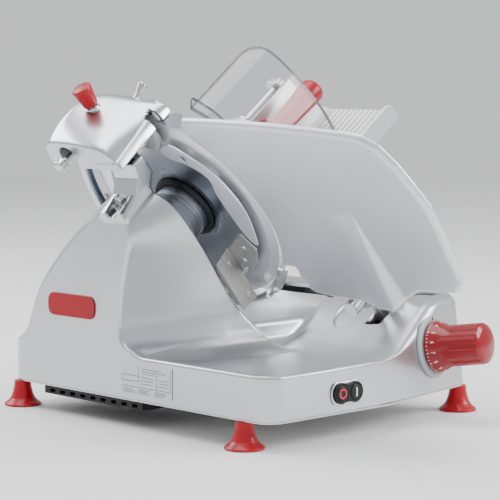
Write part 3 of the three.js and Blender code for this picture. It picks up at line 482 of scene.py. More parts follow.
def tube_along(path, radius, base, sides=12, closed=False):
    """A round bar along a path."""
    path = np.asarray(path, float)
    count = len(path)
    points, faces = [], []
    up = np.array([0.3, 0.2, 1.0])
    for i, p in enumerate(path):
        t = direction(path, i, closed)
        u = up - (up @ t) * t
        u /= np.linalg.norm(u)
        v = np.cross(t, u)
        up = u
        for k in range(sides):
            angle = 2 * math.pi * k / sides
            points.append(p + radius * (math.cos(angle) * u + math.sin(angle) * v))
    rows = count if closed else count - 1
    for i in range(rows):
        for k in range(sides):
            a, b = i * sides + k, i * sides + (k + 1) % sides
            j = (i + 1) % count
            faces.append([a, b, j * sides + (k + 1) % sides, j * sides + k])
    if not closed:
        faces.append(list(range(sides))[::-1])
        faces.append(list(range((count - 1) * sides, count * sides)))
    return place(points, base), faces


def softened(node, width, material):
    """A copy of a CAD node with its corners rounded."""
    work = bmesh.new()
    work.from_mesh(NODES[node].data)
    bmesh.ops.remove_doubles(work, verts=work.verts, dist=1e-5)
    bmesh.ops.dissolve_limit(work, angle_limit=math.radians(2), verts=work.verts, edges=work.edges)
    edges = [e for e in work.edges if len(e.link_faces) == 2 and e.calc_face_angle() > math.radians(28)]
    bmesh.ops.bevel(work, geom=edges, offset=width * MM, segments=3, profile=0.5, affect="EDGES",
                    clamp_overlap=True, miter_outer="ARC")
    bmesh.ops.triangulate(work, faces=[f for f in work.faces if len(f.verts) > 4])
    bmesh.ops.recalc_face_normals(work, faces=work.faces)
    points = [v.co[:] for v in work.verts]
    faces = [[v.index for v in f.verts] for f in work.faces]
    work.free()
    return piece(node + "_soft", points, faces, material, node)


# ---- distance fields and their surfaces ----


def length2(a, b):
    return np.sqrt(a * a + b * b)


def round_union(a, b, r):
    return np.maximum(r, np.minimum(a, b)) - length2(np.maximum(r - a, 0), np.maximum(r - b, 0))


def round_inter(a, b, r):
    return np.minimum(-r, np.maximum(a, b)) + length2(np.maximum(r + a, 0), np.maximum(r + b, 0))


def step(x, low, high):
    t = np.clip((x - low) / (high - low), 0, 1)
    return t * t * (3 - 2 * t)


def within(*spans):
    """A box's distance, given (coordinate, middle, half width) for each side."""
    total = -np.inf
    for value, middle, reach in spans:
        total = np.maximum(total, np.abs(value - middle) - reach)
    return total


def half(normal, point, x, y, z):
    n = np.array(normal, float)
    n /= np.linalg.norm(n)
    return n[0] * (x - point[0]) + n[1] * (y - point[1]) + n[2] * (z - point[2])


def polygon_distance(polygon, x, y):
    """Signed distance to a polygon, negative inside."""
    best = np.full(x.shape, 1e12, np.float32)
    inside_count = np.zeros(x.shape, bool)
    points = np.asarray(polygon, np.float32)
    for (ax, ay), (bx, by) in zip(points, np.roll(points, -1, 0)):
        dx, dy = bx - ax, by - ay
        long = dx * dx + dy * dy
        if long < 1e-9:
            continue
        t = np.clip(((x - ax) * dx + (y - ay) * dy) / long, 0, 1)
        best = np.minimum(best, (x - ax - t * dx) ** 2 + (y - ay - t * dy) ** 2)
        if abs(dy) > 1e-9:
            crosses = ((ay > y) != (by > y)) & (x < dx * (y - ay) / dy + ax)
            inside_count ^= crosses
    distance = np.sqrt(best)
    return np.where(inside_count, -distance, distance)


class Grid:
    """Values on a regular grid in two or three dimensions, read in between."""

    def __init__(self, low, step_size, values):
        self.low, self.step, self.values = low, step_size, values.astype(np.float32)

    def __call__(self, *where):
        cells, parts = [], []
        for axis, w in enumerate(where):
            g = np.clip((w - self.low[axis]) / self.step[axis], 0, self.values.shape[axis] - 1.001)
            cell = g.astype(np.int32)
            cells.append(cell)
            parts.append((g - cell).astype(np.float32))
        total = 0
        for corner in range(2 ** len(where)):
            weight, index = 1, []
            for axis, (cell, part) in enumerate(zip(cells, parts)):
                bit = corner >> axis & 1
                weight = weight * (part if bit else 1 - part)
                index.append(cell + bit)
            total = total + weight * self.values[tuple(index)]
        return total


def polygon_grid(polygon, margin=40, size=1.0):
    points = np.asarray(polygon, float)
    low, high = points.min(0) - margin, points.max(0) + margin
    count = np.ceil((high - low) / size).astype(int) + 1
    axes = [low[k] + size * np.arange(count[k]) for k in (0, 1)]
    x, y = np.meshgrid(*axes, indexing="ij")
    return Grid(low, (size, size), polygon_distance(polygon, x.astype(np.float32), y.astype(np.float32)))


def contour(field, low, high, size):
    """The zero surface of a field, as quads, with the field's own normals."""
    low, high = np.array(low, float), np.array(high, float)
    count = np.ceil((high - low) / size).astype(int) + 1
    axes = [(low[i] + size * np.arange(count[i])).astype(np.float32) for i in range(3)]
    values = np.empty(count, np.float32)
    for i in range(0, count[0], 24):
        x, y, z = np.meshgrid(axes[0][i:i + 24], axes[1], axes[2], indexing="ij")
        values[i:i + 24] = field(x, y, z)
    values[values == 0] = 1e-6
    solid = values < 0
    cell = tuple(count - 1)
    total = np.zeros(cell, np.int8)
    for dx, dy, dz in itertools.product((0, 1), repeat=3):
        total += solid[dx:dx + cell[0], dy:dy + cell[1], dz:dz + cell[2]]
    active = np.argwhere((total > 0) & (total < 8))
    number = np.full(cell, -1, np.int32)
    number[tuple(active.T)] = np.arange(len(active))
    corners = {}
    for corner in itertools.product((0, 1), repeat=3):
        corners[corner] = values[tuple((active + corner).T)]
    sums = np.zeros((len(active), 3))
    hits = np.zeros(len(active))
    for a in corners:
        for axis in range(3):
            if a[axis]:
                continue
            b = tuple(1 if k == axis else a[k] for k in range(3))
            va, vb = corners[a], corners[b]
            cross = (va < 0) != (vb < 0)
            t = np.where(cross, va / np.where(cross, va - vb, 1), 0)
            at = np.array(a, float)[None] + t[:, None] * np.eye(3)[axis]
            sums += np.where(cross[:, None], at, 0)
            hits += cross
    points = low + (active + sums / hits[:, None]) * size
    quads = []
    for axis in range(3):
        u, v = (axis + 1) % 3, (axis + 2) % 3
        span = [slice(1, c - 1) for c in count]
        span[axis] = slice(0, count[axis] - 1)
        ahead = list(span)
        ahead[axis] = slice(1, count[axis])
        here, there = solid[tuple(span)], solid[tuple(ahead)]
        for sign in (True, False):
            at = np.argwhere(here & ~there if sign else ~here & there)
            at += np.array([s.start for s in span])
            ring = []
            for du, dv in ((1, 1), (0, 1), (0, 0), (1, 0)):
                c = at.copy()
                c[:, u] -= du
                c[:, v] -= dv
                ring.append(number[c[:, 0], c[:, 1], c[:, 2]])
            ring = np.stack(ring if sign else ring[::-1], 1)
            quads.append(ring)
    faces = np.concatenate(quads)

    def slope(p):
        e = 0.35
        out = []
        for axis in range(3):
            up, down = p.copy(), p.copy()
            up[:, axis] += e
            down[:, axis] -= e
            out.append((field(*up.T) - field(*down.T)) / (2 * e))
        return np.stack(out, 1)

    for _ in range(2):
        g = slope(points)
        d = field(*points.T)
        move = d[:, None] * g / np.maximum((g ** 2).sum(1, keepdims=True), 0.2)
        points = points - np.clip(move, -size * 0.6, size * 0.6)
    g = slope(points)
    return points, faces, g / np.maximum(np.linalg.norm(g, axis=1, keepdims=True), 1e-9)


def field_piece(name, field, low, high, size, base, material, node):
    points, faces, normals = contour(field, low, high, size)
    return piece(name, place(points, base), faces, material, node, normals=normals @ base[0].T)

# ---- base casting ----
WALL_RING = [
    (178, 34), (196, 88), (211, 103), (219, 126), (216, 165), (208, 205), (198, 237), (199, 255),
    (209, 270), (226, 279), (244, 279.5), (270, 264), (300, 246), (347, 206), (383, 166), (405, 123),
    (423, 72), (430, 34),
]
BLADE_RING = [
    (-96, -255), (-84, -185), (-74, -160), (-63, -130), (-62, -95), (-66, -45), (-67, 0), (-62, 40),
    (-46, 64), (-20, 78), (6, 81), (32, 70), (62, 56), (109, 25), (145, -7), (167, -41),
    (185, -120), (190, -255),
]


def tower_grid():
    """The tower's section at each x, skinned between the ring at the left wall and the ring at the blade."""
    wall, side = smooth(WALL_RING, 5), smooth(BLADE_RING, 5)
    start = np.stack([np.full(len(wall), float(WALL_LEFT)), wall[:, 0], wall[:, 1]], 1)
    rotation, origin = BLADE
    end = np.array([side[:, 0], side[:, 1], np.full(len(side), float(TOWER_FACE))]).T @ rotation.T + origin
    xs = np.arange(-18, 226, 3.0)
    y, z = np.meshgrid(np.arange(96, 470, 3.0), np.arange(24, 330, 3.0), indexing="ij")
    y, z = y.astype(np.float32), z.astype(np.float32)
    values = []
    for x in xs:
        share = (x - WALL_LEFT) / (end[:, 0] - WALL_LEFT)
        ring = start[:, 1:] + share[:, None] * (end[:, 1:] - start[:, 1:])
        values.append(polygon_distance(ring, y, z))
    return Grid((-18, 96, 24), (3, 3, 3), np.stack(values))


TOWER = tower_grid()
BASE_TOP, TRAY_FLOOR, DECK_TOP, BLOCK_TOP, BASE_BOTTOM = 93, 84, 118, 158, 37
PLAN = polygon_grid(np.concatenate([
    arc(18, -24, 30, np.arange(180, 271, 6)),
    [(402, -54)],
    arc(382, 428, 20, np.arange(0, 91, 9)),
    arc(14, 422, 26, np.arange(90, 181, 9)),
]))
TRAY = polygon_grid(rounded(332, 243, 18, 164, 78.5), 30)


def blade_space(x, y, z):
    """Distances rearwards, up the blade and towards the carriage, in the blade's frame."""
    across, rear, up = x - BLADE_PLACE[0], y - BLADE_PLACE[1], z - BLADE_PLACE[2]
    return rear, -SIN * across + COS * up, COS * across + SIN * up


def casting_outside(x, y, z):
    """The casting's outer surface, open below."""
    _, _, out = blade_space(x, y, z)
    body = round_inter(z - BASE_TOP, -round_inter(TRAY(x, y), TRAY_FLOOR - z, 8), 4)
    slope = round_inter(half((-0.609, 0.142, 1), (261, 188, 85), x, y, z), z - BLOCK_TOP, 14)
    rear = round_inter(half((-0.609, 0, 1), (261, 188, 85), x, y, z), z - BLOCK_TOP, 14)
    behind = half((0, -1, 0.2), (0, 186, TRAY_FLOOR), x, y, z)
    rear = round_inter(rear, behind, 8)
    deck = round_inter(half((-1, 0, 0.25), (110, 0, 37), x, y, z), z - DECK_TOP, 10)
    deck = round_inter(deck, behind, 8)
    block = np.minimum(slope, rear)
    pocket = round_inter(length2(x - 331, y - 106) - 46, -slope - 3.5, 2.5)
    block = round_inter(block, -pocket, 1.2)
    body = round_union(body, round_union(block, deck, 10), 18)
    tower = round_inter(TOWER(x, y, z), out - TOWER_FACE, 4)
    body = round_union(body, tower, 22)
    side = round_inter(PLAN(x, y), half(FACE_NORMAL, FACE_START, x, y, z), 18)
    edge = 4 + 7 * step(x, 190, 260) + 6 * step(-y, -215, -150) * step(z, 96, 130)
    edge = edge + 2 * step(-x, -40, 0) * step(94 - z, 0, 20)
    return round_inter(body, side, edge)


def casting(x, y, z):
    along, up, out = blade_space(x, y, z)
    skin = casting_outside(x, y, z)
    lug = np.maximum(within((y, 60, 15), (x, 324, 12)), half((-SIN, 0, COS), (331, 60, 222), x, y, z))
    lug = np.maximum(lug, 100 - z)
    body = round_inter(round_union(skin, lug, 9), BASE_BOTTOM - z, 2)
    body = np.maximum(body, -(skin + 9 - 3 * step(x, 280, 320)))
    hub = np.maximum(length2(along + 3, up) - 30.3, np.abs(out + 65) - 25)
    slot = np.maximum(within((x, 362, 9), (y, 198, 186)), DECK_TOP - z)
    rod_along, rod_up = GAUGE_ROD_PLACE
    gauge = within((along, rod_along, 14), (up, -252.5, 47.5), (out, 65, 25))
    rod = np.maximum(length2(along - rod_along, up - rod_up) - 11.3, within((out, 75, 75)))
    switch = np.maximum(within((x, SWITCH_PLACE[0], 23), (z, SWITCH_PLACE[2], 11.5)), y + 40)
    relative = np.stack([x - KNOB_PLACE[0], y - KNOB_PLACE[1], z - KNOB_PLACE[2]])
    depth = np.tensordot(FACE_NORMAL, relative, 1)
    shaft = np.sqrt(np.maximum((relative ** 2).sum(0) - depth ** 2, 0))
    knob = np.maximum(shaft - 9.5, np.abs(depth) - 20)
    gland = np.maximum(length2(x - GLAND_PLACE[0], z - GLAND_PLACE[2]) - 9, 428 - y)
    for tool in (hub, slot, gauge, rod, switch, knob, gland):
        body = round_inter(body, -tool, 0.9)
    return body.astype(np.float32)


CASTING_GRID = 2.2
field_piece("casting", casting, (-20, -62, 32), (410, 456, 318), CASTING_GRID, WORLD, ALUMINIUM,
            "base_casting")

# ---- strokes: thin raised marks laid on a surface ----


def strokes(lines, width, height, surface, closed=False):
    """Raised strips along polylines. surface(u, v, h) gives the place of a mark's point in its frame."""
    shapes = []
    for line in lines:
        line = np.asarray(line, float)
        count = len(line)
        side = []
        for i in range(count):
            t = direction(line, i, closed)
            side.append((-t[1], t[0]))
        side = np.array(side) * width / 2
        points = []
        for h in (-0.1, height):
            for sign in (-1, 1):
                points += [surface(*(line[i] + sign * side[i]), h) for i in range(count)]
        faces = []
        for i in range(count if closed else count - 1):
            j = (i + 1) % count
            corners = [0, 2 * count, 3 * count, count]
            for a, b in zip(corners, corners[1:] + corners[:1]):
                faces.append([a + i, b + i, b + j, a + j][::-1])
        if not closed:
            faces.append([0, count, 3 * count, 2 * count][::-1])
            faces.append([n + count - 1 for n in (0, count, 3 * count, 2 * count)])
        shapes.append((points, faces))
    return joined(shapes)


def digits(text, size, height, surface, at):
    """Numbers as raised solids on a surface."""
    curve = bpy.data.curves.new("digits", "FONT")
    curve.body = text
    curve.size = size
    curve.extrude = 0.5
    curve.align_x, curve.align_y = "CENTER", "CENTER"
    curve.resolution_u = 3
    helper = bpy.data.objects.new("digits", curve)
    bpy.context.scene.collection.objects.link(helper)
    bpy.context.view_layer.update()
    mesh = helper.to_mesh()
    points = [surface(at[0] + v.co.x, at[1] + v.co.y, height if v.co.z > 0 else -0.1)
              for v in mesh.vertices]
    faces = [list(p.vertices) for p in mesh.polygons]
    helper.to_mesh_clear()
    bpy.data.objects.remove(helper)
    bpy.data.curves.remove(curve)
    work = bmesh.new()
    verts = [work.verts.new(p) for p in points]
    for f in faces:
        if len(set(f)) == len(f):
            try:
                work.faces.new([verts[i] for i in f])
            except ValueError:
                pass
    bmesh.ops.remove_doubles(work, verts=work.verts, dist=1e-4)
    work.verts.index_update()
    out = [v.co[:] for v in work.verts], [[v.index for v in f.verts] for f in work.faces]
    work.free()
    return out


def marks(name, shape, base, material, node, slot):
    points, faces = shape
    return piece(name, place(points, base), faces, material, (), body=NODES[node]["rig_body"], slot=slot)


def frame_piece(name, shape, material, slot=None):
    """A piece that rides on the still frame and replaces no node of its own."""
    points, faces = shape
    return piece(name, points, faces, material, (), body="frame", slot=slot)


def turned_piece(node, profile, base, material, round_to=0.6, segments=96, **more):
    points, faces = lathe(profile, base, round_to, segments, **more)
    return piece(node + "_turned", points, faces, material, node)


def plate_piece(node, outline, low, high, base, material, bevel=0.8, holes=(), name=None):
    points, faces = slab(outline, low, high, base, bevel, holes)
    return piece(name or node + "_formed", points, faces, material, node)


def group(node, shapes, material, sharp=32):
    points, faces = joined(shapes)
    return piece(node + "_built", points, faces, material, node, sharp=sharp)


# ---- feet, gland and plates ----
FOOT = [(0, 0), (24.2, 0), (25, 0.8), (25, 2.6), (23.4, 4.2), (20, 6.6), (17, 10), (14.6, 14.8), (12.9, 20.5),
        (11.7, 27), (11, 34.4), (0, 34.4)]
FOOT_SPREAD = (394, 437)
for depth, y in (("front", 0), ("rear", FOOT_SPREAD[1])):
    for side, x in (("left", 0), ("right", FOOT_SPREAD[0])):
        turned_piece(f"foot_{depth}_{side}", FOOT, shifted(WORLD, x, y, 0), RED, 1.4, 72)

REAR = basis((1, 0, 0), (0, 0, -1), (0, 1, 0), GLAND_PLACE)
gland = [(4, -14), (8.6, -14), (8.6, 0.3), (13, 0.3), (13, 5), (9, 5), (9, 7.5)]
for i in range(5):
    gland += [(8.6 - 0.35 * i, 8.6 + 3 * i), (8.6 - 0.35 * i, 10.6 + 3 * i), (7.2 - 0.35 * i, 11 + 3 * i)]
turned_piece("cable_gland", gland + [(6.4, 24), (4, 24)], REAR, BLACK, 0.5, 48)


def on_wall(y, z):
    return basis((0, -1, 0), (0, 0, 1), (-1, 0, 0), (-12.3, y, z))


plate_piece("badge", rounded(96, 30, 13, steps=10), 0, 1.6, on_wall(314, 147), BADGE, 0.7)
RATING = on_wall(165.5, 65)
plate_piece("rating_plate", rounded(98, 40, 2.5), 0, 0.8, RATING, SILVER, 0.3)


def flat_surface(u, v, h):
    return u, v, 0.8 + h


lines = [[(-46, 4), (-14, 4)], [(-46, -3), (-14, -3)], [(-46, 4), (-46, -3)], [(-14, 17), (-14, -3)],
         [(20, 6), (20, -10)], [(-46, -10), (46, -10)], [(46, 17), (46, -10)]]
for row, (start, ends) in enumerate(((-8, 30), (-8, 38), (-8, 24))):
    lines.append([(start, 14 - 3 * row), (ends, 14 - 3 * row)])
for row in range(3):
    level = -13 - 2.2 * row
    lines += [[(-44 + 30 * k, level), (-22 + 30 * k - 4 * (k == row), level)] for k in range(3)]
for start, end in ((-10, 14), (24, 42)):
    lines += [[(start, 3 - 4 * row), (end, 3 - 4 * row)] for row in range(3)]
marks("rating_plate_lines", strokes(lines, 0.7, 0.12, flat_surface), RATING, INK, "rating_plate",
      "black_plastic")

softened("bottom_cover", 0.5, STEEL)
softened("vent_tray", 0.7, BLACK)

# ---- switch ----
SWITCH = basis((1, 0, 0), (0, 0, 1), (0, -1, 0), SWITCH_PLACE)


def lobes(radius, waist):
    """Two round lobes 24 apart joined by a soft waist."""
    right = arc(12, 0, radius, np.arange(-115, 116, 5))
    outline = np.concatenate([right, [[0, waist]], -right, [[0, -waist]]])
    return smooth(outline, 2)


bezel_holes = [circle(-12, 0, 10.3), circle(12, 0, 10.3)]
rim = slab(rounded(56, 29, 14.4, steps=14), 0, 2.2, SWITCH, 0.9, bezel_holes)
plate_piece("switch_bezel", lobes(13.2, 11.4), 2.3, 5, SWITCH, BLACK, 1.1, bezel_holes, "switch_cover")
frame_piece("switch_rim", rim, TURNED)
CAP = [(0, -10), (10, -10), (10, 4.9), (8.4, 5.9), (0, 6.3)]
for node, x in (("off_button", -12), ("on_button", 12)):
    turned_piece(node, CAP, shifted(SWITCH, x, 0, 0), BLACK, 0.8)


def cap_surface(u, v, h):
    return u, v, 6.2 - 0.005 * (u * u + v * v) + h


RING_RED = plastic("mark_red", (0.75, 0.03, 0.03), 0.4)
ring = [arc(0, 0, 5.4, np.arange(0, 360, 10))]
marks("off_mark", strokes(ring, 2.0, 0.25, cap_surface, True), shifted(SWITCH, -12, 0, 0), RING_RED,
      "off_button", "red_plastic")
bar = [[(0, -5.6), (0, -2), (0, 2), (0, 5.6)]]
marks("on_mark", strokes(bar, 1.9, 0.25, cap_surface), shifted(SWITCH, 12, 0, 0), WHITE,
      "on_button", "white_plastic")

# ---- blade, hub and drive ----
DISH = [(15.9, 2.4), (55, 2.4), (62, 1.4), (112, -1.4), (117.9, -1.5), (117.9, -6), (108, -4.2), (60, -0.4),
        (54, 0.8), (15.9, 0.8)]
# The blade is two turned pieces: a darkened dish that carries painted shade and a lightened bevel that
# carries a painted highlight, over their real satin and ground finishes.
turned_piece("blade", DISH, AXIS, SATIN_DISH_AND_SHADE, 0.25, 192)
bevel = lathe([(118.1, -1.5), (125, -1.6), (149.4, 0), (150, -0.4), (138, -4.4), (127, -6), (118.1, -6)],
              AXIS, 0.25, 192)
piece("blade_bevel_turned", *bevel, GROUND_BEVEL_AND_HIGHLIGHT, (), body=NODES["blade"]["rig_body"])
turned_piece("blade_shaft", [(0, 2.2), (15.6, 2.2), (15.6, 0.5), (32, 0.5), (32, -3.5), (12, -3.5), (12, -80),
             (9, -80), (9, -100), (0, -100)], AXIS, TURNED)
pulley = [(9.3, -80.3), (35.5, -80.3), (35.5, -82), (34, -83), (34, -93), (35.5, -94), (35.5, -96),
          (9.3, -96)]
turned_piece("blade_pulley", pulley, AXIS, DARK, 0.4)
turned_piece("bearing_housing", [
    (23.4, -6), (33.5, -6), (33.5, -1.5), (37, -1.5), (38.8, -3.2), (38.8, -14), (36, -16), (36, -20),
    (38.8, -22),
    (38.8, -34), (37.6, -35), (37.6, -38), (38.8, -39), (38.8, -49.7), (30, -49.7), (30, -74), (23.4, -74),
], AXIS, HOUSING, 0.8)
for node, z in (("front_bearing", -19), ("rear_bearing", -72)):
    turned_piece(node, [
        (12.3, z), (16, z), (16, z + 1), (19.5, z + 1), (19.5, z), (23.1, z), (23.1, z + 12), (19.5, z + 12),
        (19.5, z + 11), (16, z + 11), (16, z + 12), (12.3, z + 12),
    ], AXIS, TURNED, 0.4)
turned_piece("seal_ring", [(39.4, -5), (45, -5), (47.5, -1.5), (47.5, 0), (39.4, 0)], AXIS, RUBBER, 0.9)
motor = shifted(AXIS, 60, -125, 0)
fins = [(0, -169), (34, -169)]
for i in range(12):
    fins += [(38, -166 + 5 * i), (38, -164 + 5 * i), (35.4, -163.6 + 5 * i), (35.4, -161.6 + 5 * i)]
fins += [(38, -105), (18, -103), (18, -99.3), (6.3, -99.3), (6.3, -119), (0, -119)]
turned_piece("motor_body", fins, motor, DARK, 0.5, 64)
turned_piece("motor_pulley", [(0, -117), (6, -117), (6, -96), (16.5, -96), (16.5, -94), (15, -93), (15, -83),
             (16.5, -82), (16.5, -80.3), (0, -80.3)], motor, DARK, 0.4, 64)
softened("drive_belt", 0.4, RUBBER)

band = lathe([(153.5, -12), (156, -14), (164.5, -14), (167, -11.5), (167, -4.5), (164.5, -2), (156, -2),
              (153.5, -4)], BLADE, 2.2, 150, -90, 96)
leg_at = math.radians(-50)
leg_frame = shifted(BLADE, 161 * math.cos(leg_at), 161 * math.sin(leg_at), 0)
leg = lathe([(0, -49.7), (8, -49.7), (8, -8), (0, -8)], leg_frame, 1.2, 40)
tab = box_shape(-13, 4, 112, 159, -35.7, -15.5, BLADE, 2)
tab_top = box_shape(-13, 4, 154.5, 159, -16, -10, BLADE, 1)
group("ring_guard", [band, leg, tab, tab_top], COVER)
liner = lathe([(151.6, -11.2), (153.6, -11.2), (153.6, -8.6), (152.4, -8.4), (152.4, -7.2), (153.6, -7),
               (153.6, -4.6), (151.6, -4.6)], BLADE, 0.4, 150, -86, 92)
LINER = plastic("liner_blue", (0.04, 0.075, 0.12), 0.25, coat=0.3)
frame_piece("ring_guard_liner", liner, LINER, "rubber_seal")
scoop = lathe([(155, -10.4), (156, -11), (161, -10), (165.4, -7.4), (168.5, -3.4), (167, -2.8),
               (163.6, -6.2), (159.6, -8.6), (155, -8.8)], BLADE, 0.5, 64, -145, -90.3)
piece("blade_scoop_formed", *scoop, CHROME, "blade_scoop")

cover_disc = lathe([(0, 2.8), (56, 2.8), (63, 1.8), (112, -1), (115, -0.8), (100, 0.6), (64, 3.5), (57, 4.7),
                    (0, 4.9)], AXIS, 0.4, 144)
ear_outline = smooth([(90, -13.6), (112, -14), (140, -13), (158, -12.2), (166, -6), (168, 0), (166, 6),
                      (158, 12.2), (140, 13), (112, 14), (90, 13.6)], 4)
ear = slab(ear_outline, 0.9, 3.2, AXIS, 0.5, [circle(159, 0, 3.4, 32)])
group("blade_cover", [cover_disc, ear], CHROME)


def grip(r, z, angle):
    return 0.7 * step(r, 7.4, 8) * (0.5 + 0.5 * math.cos(16 * angle))


screw_knob = [(0, 0.5), (3, 0.5), (3, 3.5), (7, 3.5), (8.5, 5), (8.5, 7), (8.5, 9), (8.5, 11), (7, 12.5),
              (0, 12.5)]
turned_piece("cover_screw", screw_knob, shifted(AXIS, 159, 0, 0), BLACK, 0.8, 96, wave=grip)

# ---- deflector and scraper ----
deflector = smooth([(-44, 107), (-67, 119), (-97, 98), (-122, 72), (-136, 37), (-139, 9), (-134, -18),
                    (-125, -45), (-113, -28), (-106, 12), (-104, 42), (-106, 66), (-82, 87), (-58, 95)], 3)
plate_piece("slice_deflector", deflector, -17, -14.5, BLADE, PLATE, 0.7, [circle(-80, 97, 5, 32)])
scraper = soften([(-107, -22), (-122, -50), (-108, -74), (-74, -99), (-67.5, -54), (-97, -30)], 4)
RIVETS = ((-100, -48), (-88, -70))
plate_piece("scraper_plate", scraper, -19.8, -17.3, BLADE, TAB_STEEL, 0.5,
            [circle(x, y, 3, 24) for x, y in RIVETS])
rivets = [lathe([(0, -22), (2.2, -21.6), (4.2, -19.9), (2.9, -19.9), (2.9, -16.9), (0, -16.9)],
                shifted(BLADE, x, y, 0), 0.4, 28) for x, y in RIVETS]
frame_piece("scraper_rivets", joined(rivets), CHROME)
SIDEWAYS = inside(BLADE, (0, 1, 0), (0, 0, 1), (1, 0, 0), (0, 0, 0))   # plates edge on to the blade
bracket = slab(soften([(-54, -49.5), (-48, -20.1), (-136, -20.1), (-134, -49.5)], 3), -69.8, -67.3,
               SIDEWAYS, 0.5)
flange = box_shape(-67.3, -60, -125, -60, -49.7, -47, BLADE, 0.6)
heads = [lathe([(0, 0), (3.6, 0), (3.2, 1.2), (1.6, 2.1), (0, 2.3)],
               inside(BLADE, (0, 1, 0), (0, 0, -1), (-1, 0, 0), (-69.8, u, t)), 0.4, 28)
         for u, t in ((-66, -31), (-121, -31))]
group("scraper_bracket", [bracket, flange, *heads], TAB_STEEL)
spring = [(-88 + 3.2 * math.cos(a), -96.5 + 3.2 * math.sin(a), -26 + 1.1 * a / math.pi)
          for a in np.arange(0, 10 * math.pi, 0.4)]
coil = tube_along(spring, 0.7, shifted(BLADE, 6, 12, 0), 8)
pin = lathe([(0, -26), (2, -26), (2, -15), (3.4, -14.4), (3.4, -13), (0, -12.6)],
            shifted(BLADE, -82, -84.5, -8), 0.4, 28)
frame_piece("scraper_spring", joined([coil, pin]), CHROME)

# ---- sharpener ----
COVER_HULL = [
    (-69, 145, -97), (-57, 167, -97), (-46, 178, -86), (-24, 181, -98), (16, 185, -99), (45, 185, -99),
    (57, 175, -100), (61, 145, -100), (-40, 180, -64), (41, 198, -64), (54, 190, -66), (-32, 180, -29),
    (39, 199, -28), (53, 191, -26), (-23, 177, 4), (9, 187, 2), (30, 189, 2), (47, 182, 2), (-57, 145, 18),
    (-55, 157, 18), (-28, 167, 18), (0, 171, 18), (28, 171, 18), (50, 159, 18), (57, 145, 18),
]


def hull_planes(points):
    """The (normal, distance) of each face of the points' convex hull."""
    work = bmesh.new()
    for p in points:
        work.verts.new(p)
    bmesh.ops.convex_hull(work, input=work.verts)
    work.normal_update()
    planes = {}
    centre = np.mean(points, axis=0)
    for face in work.faces:
        n = np.array(face.normal)
        d = n @ np.array(face.verts[0].co)
        if n @ centre > d:
            n, d = -n, -d
        planes[tuple(np.round(n, 3))] = (n, d)
    work.free()
    return list(planes.values())


COVER_PLANES = hull_planes(COVER_HULL)


def soft_hull(x, y, z, planes, k):
    """A distance to the hull of some planes, blended over about k at its edges."""
    total = 0
    for n, d in planes:
        total = total + np.exp((n[0] * x + n[1] * y + n[2] * z - d) / k)
    return k * np.log(total)


COVER_SIDES = [(n, d) for n, d in COVER_PLANES if n[1] > -0.9]
BUTTON_PLACE = (-12, 170, 17)
BUTTON_COS, BUTTON_SIN = math.cos(math.radians(15)), math.sin(math.radians(15))
DEBURR = inside(BLADE, (1, 0, 0), (0, BUTTON_COS, -BUTTON_SIN), (0, BUTTON_SIN, BUTTON_COS), BUTTON_PLACE)
SHARPEN_PLACE = (12.3, 195.3, -32)
COVER_WALL = 3
COVER_BOTTOM = 145


def sharpener_cover(x, y, z):
    """The cover over both stones, hollow and open below. y runs up the blade's face."""
    skin = soft_hull(x, y, z, COVER_SIDES, 1.8) - 1.2
    lip = np.maximum(skin - 2.4, y - 154.5 - 0.06 * (z + 100))
    lip = np.maximum(lip, -step(-x, 20, 40) * 40 + 20)
    outer = round_union(skin, lip, 1.0)
    body = round_inter(outer, COVER_BOTTOM - y, 1)
    body = np.maximum(body, -(skin + COVER_WALL))
    stem = length2(x - SHARPEN_PLACE[0], z - SHARPEN_PLACE[2])
    body = round_union(body, np.maximum(np.maximum(stem - 8.5, y - 192.8), 182 - y), 1.5)
    body = np.maximum(body, -np.maximum(stem - 11, 192.9 - y))
    knob = stem - 6
    ax, ay, az = x - BUTTON_PLACE[0], y - BUTTON_PLACE[1], z - BUTTON_PLACE[2]
    button = length2(ax, BUTTON_COS * ay - BUTTON_SIN * az) - 4.5
    button = np.maximum(button, -30 - (BUTTON_SIN * ay + BUTTON_COS * az))
    arch = np.maximum(np.abs(x - 18) - 15, y - 164)
    arch = np.minimum(arch, length2(x - 18, y - 164) - 15)
    arch = np.maximum(arch, z + 86)
    ring = np.maximum(np.maximum(length2(x, y) - 170, 149.5 - length2(x, y)), np.abs(z + 8) - 9)
    for tool in (knob, button, arch):
        body = round_inter(body, -tool, 1.0)
    return np.maximum(body, -ring).astype(np.float32)


field_piece("sharpener_cover_cast", sharpener_cover, (-74, 141, -106), (68, 204, 24),
            1.1, BLADE, COVER, "sharpener_cover")
softened("sharpener_frame", 0.8, BLACK)
softened("grinder_carrier", 0.6, STEEL)
turned_piece("grinding_stone", [(0, -21), (16, -21), (18, -19), (18, -12), (12, -11), (0, -13)],
             shifted(BLADE, -38, 130, 0), GRIT, 0.5, 64)
SHARPEN = inside(BLADE, (1, 0, 0), (0, 0, -1), (0, 1, 0), SHARPEN_PLACE)
turned_piece("sharpening_knob", [(0, 0), (9.2, 0), (9.8, 1.2), (11.4, 12), (13.3, 24), (12.9, 26), (11, 27.3),
             (6, 28), (0, 28)], SHARPEN, RED, 1.4, 80)
wheel_x, wheel_y = -28, 136
group("deburr_button", [
    lathe([(0, -8), (3.5, -8), (3.5, 4.5), (4.2, 5.2), (5, 9), (7, 17), (6.6, 18.3), (4, 18.5), (3.6, 17.6),
           (0, 17.4)], DEBURR, 0.4, 56),
    box_shape(-16, -8, 148, 166, 10.4, 13.4, BLADE, 0.5),
    box_shape(wheel_x - 4, -8, 148, 154, 10.4, 13.4, BLADE, 0.5),
    box_shape(wheel_x - 4, wheel_x + 4, wheel_y - 5, 154, 10.4, 13.4, BLADE, 0.5),
    lathe([(0, 7.5), (2.5, 7.5), (2.5, 11), (0, 11)], shifted(BLADE, wheel_x, wheel_y, 0), 0.2, 24),
], CHROME)
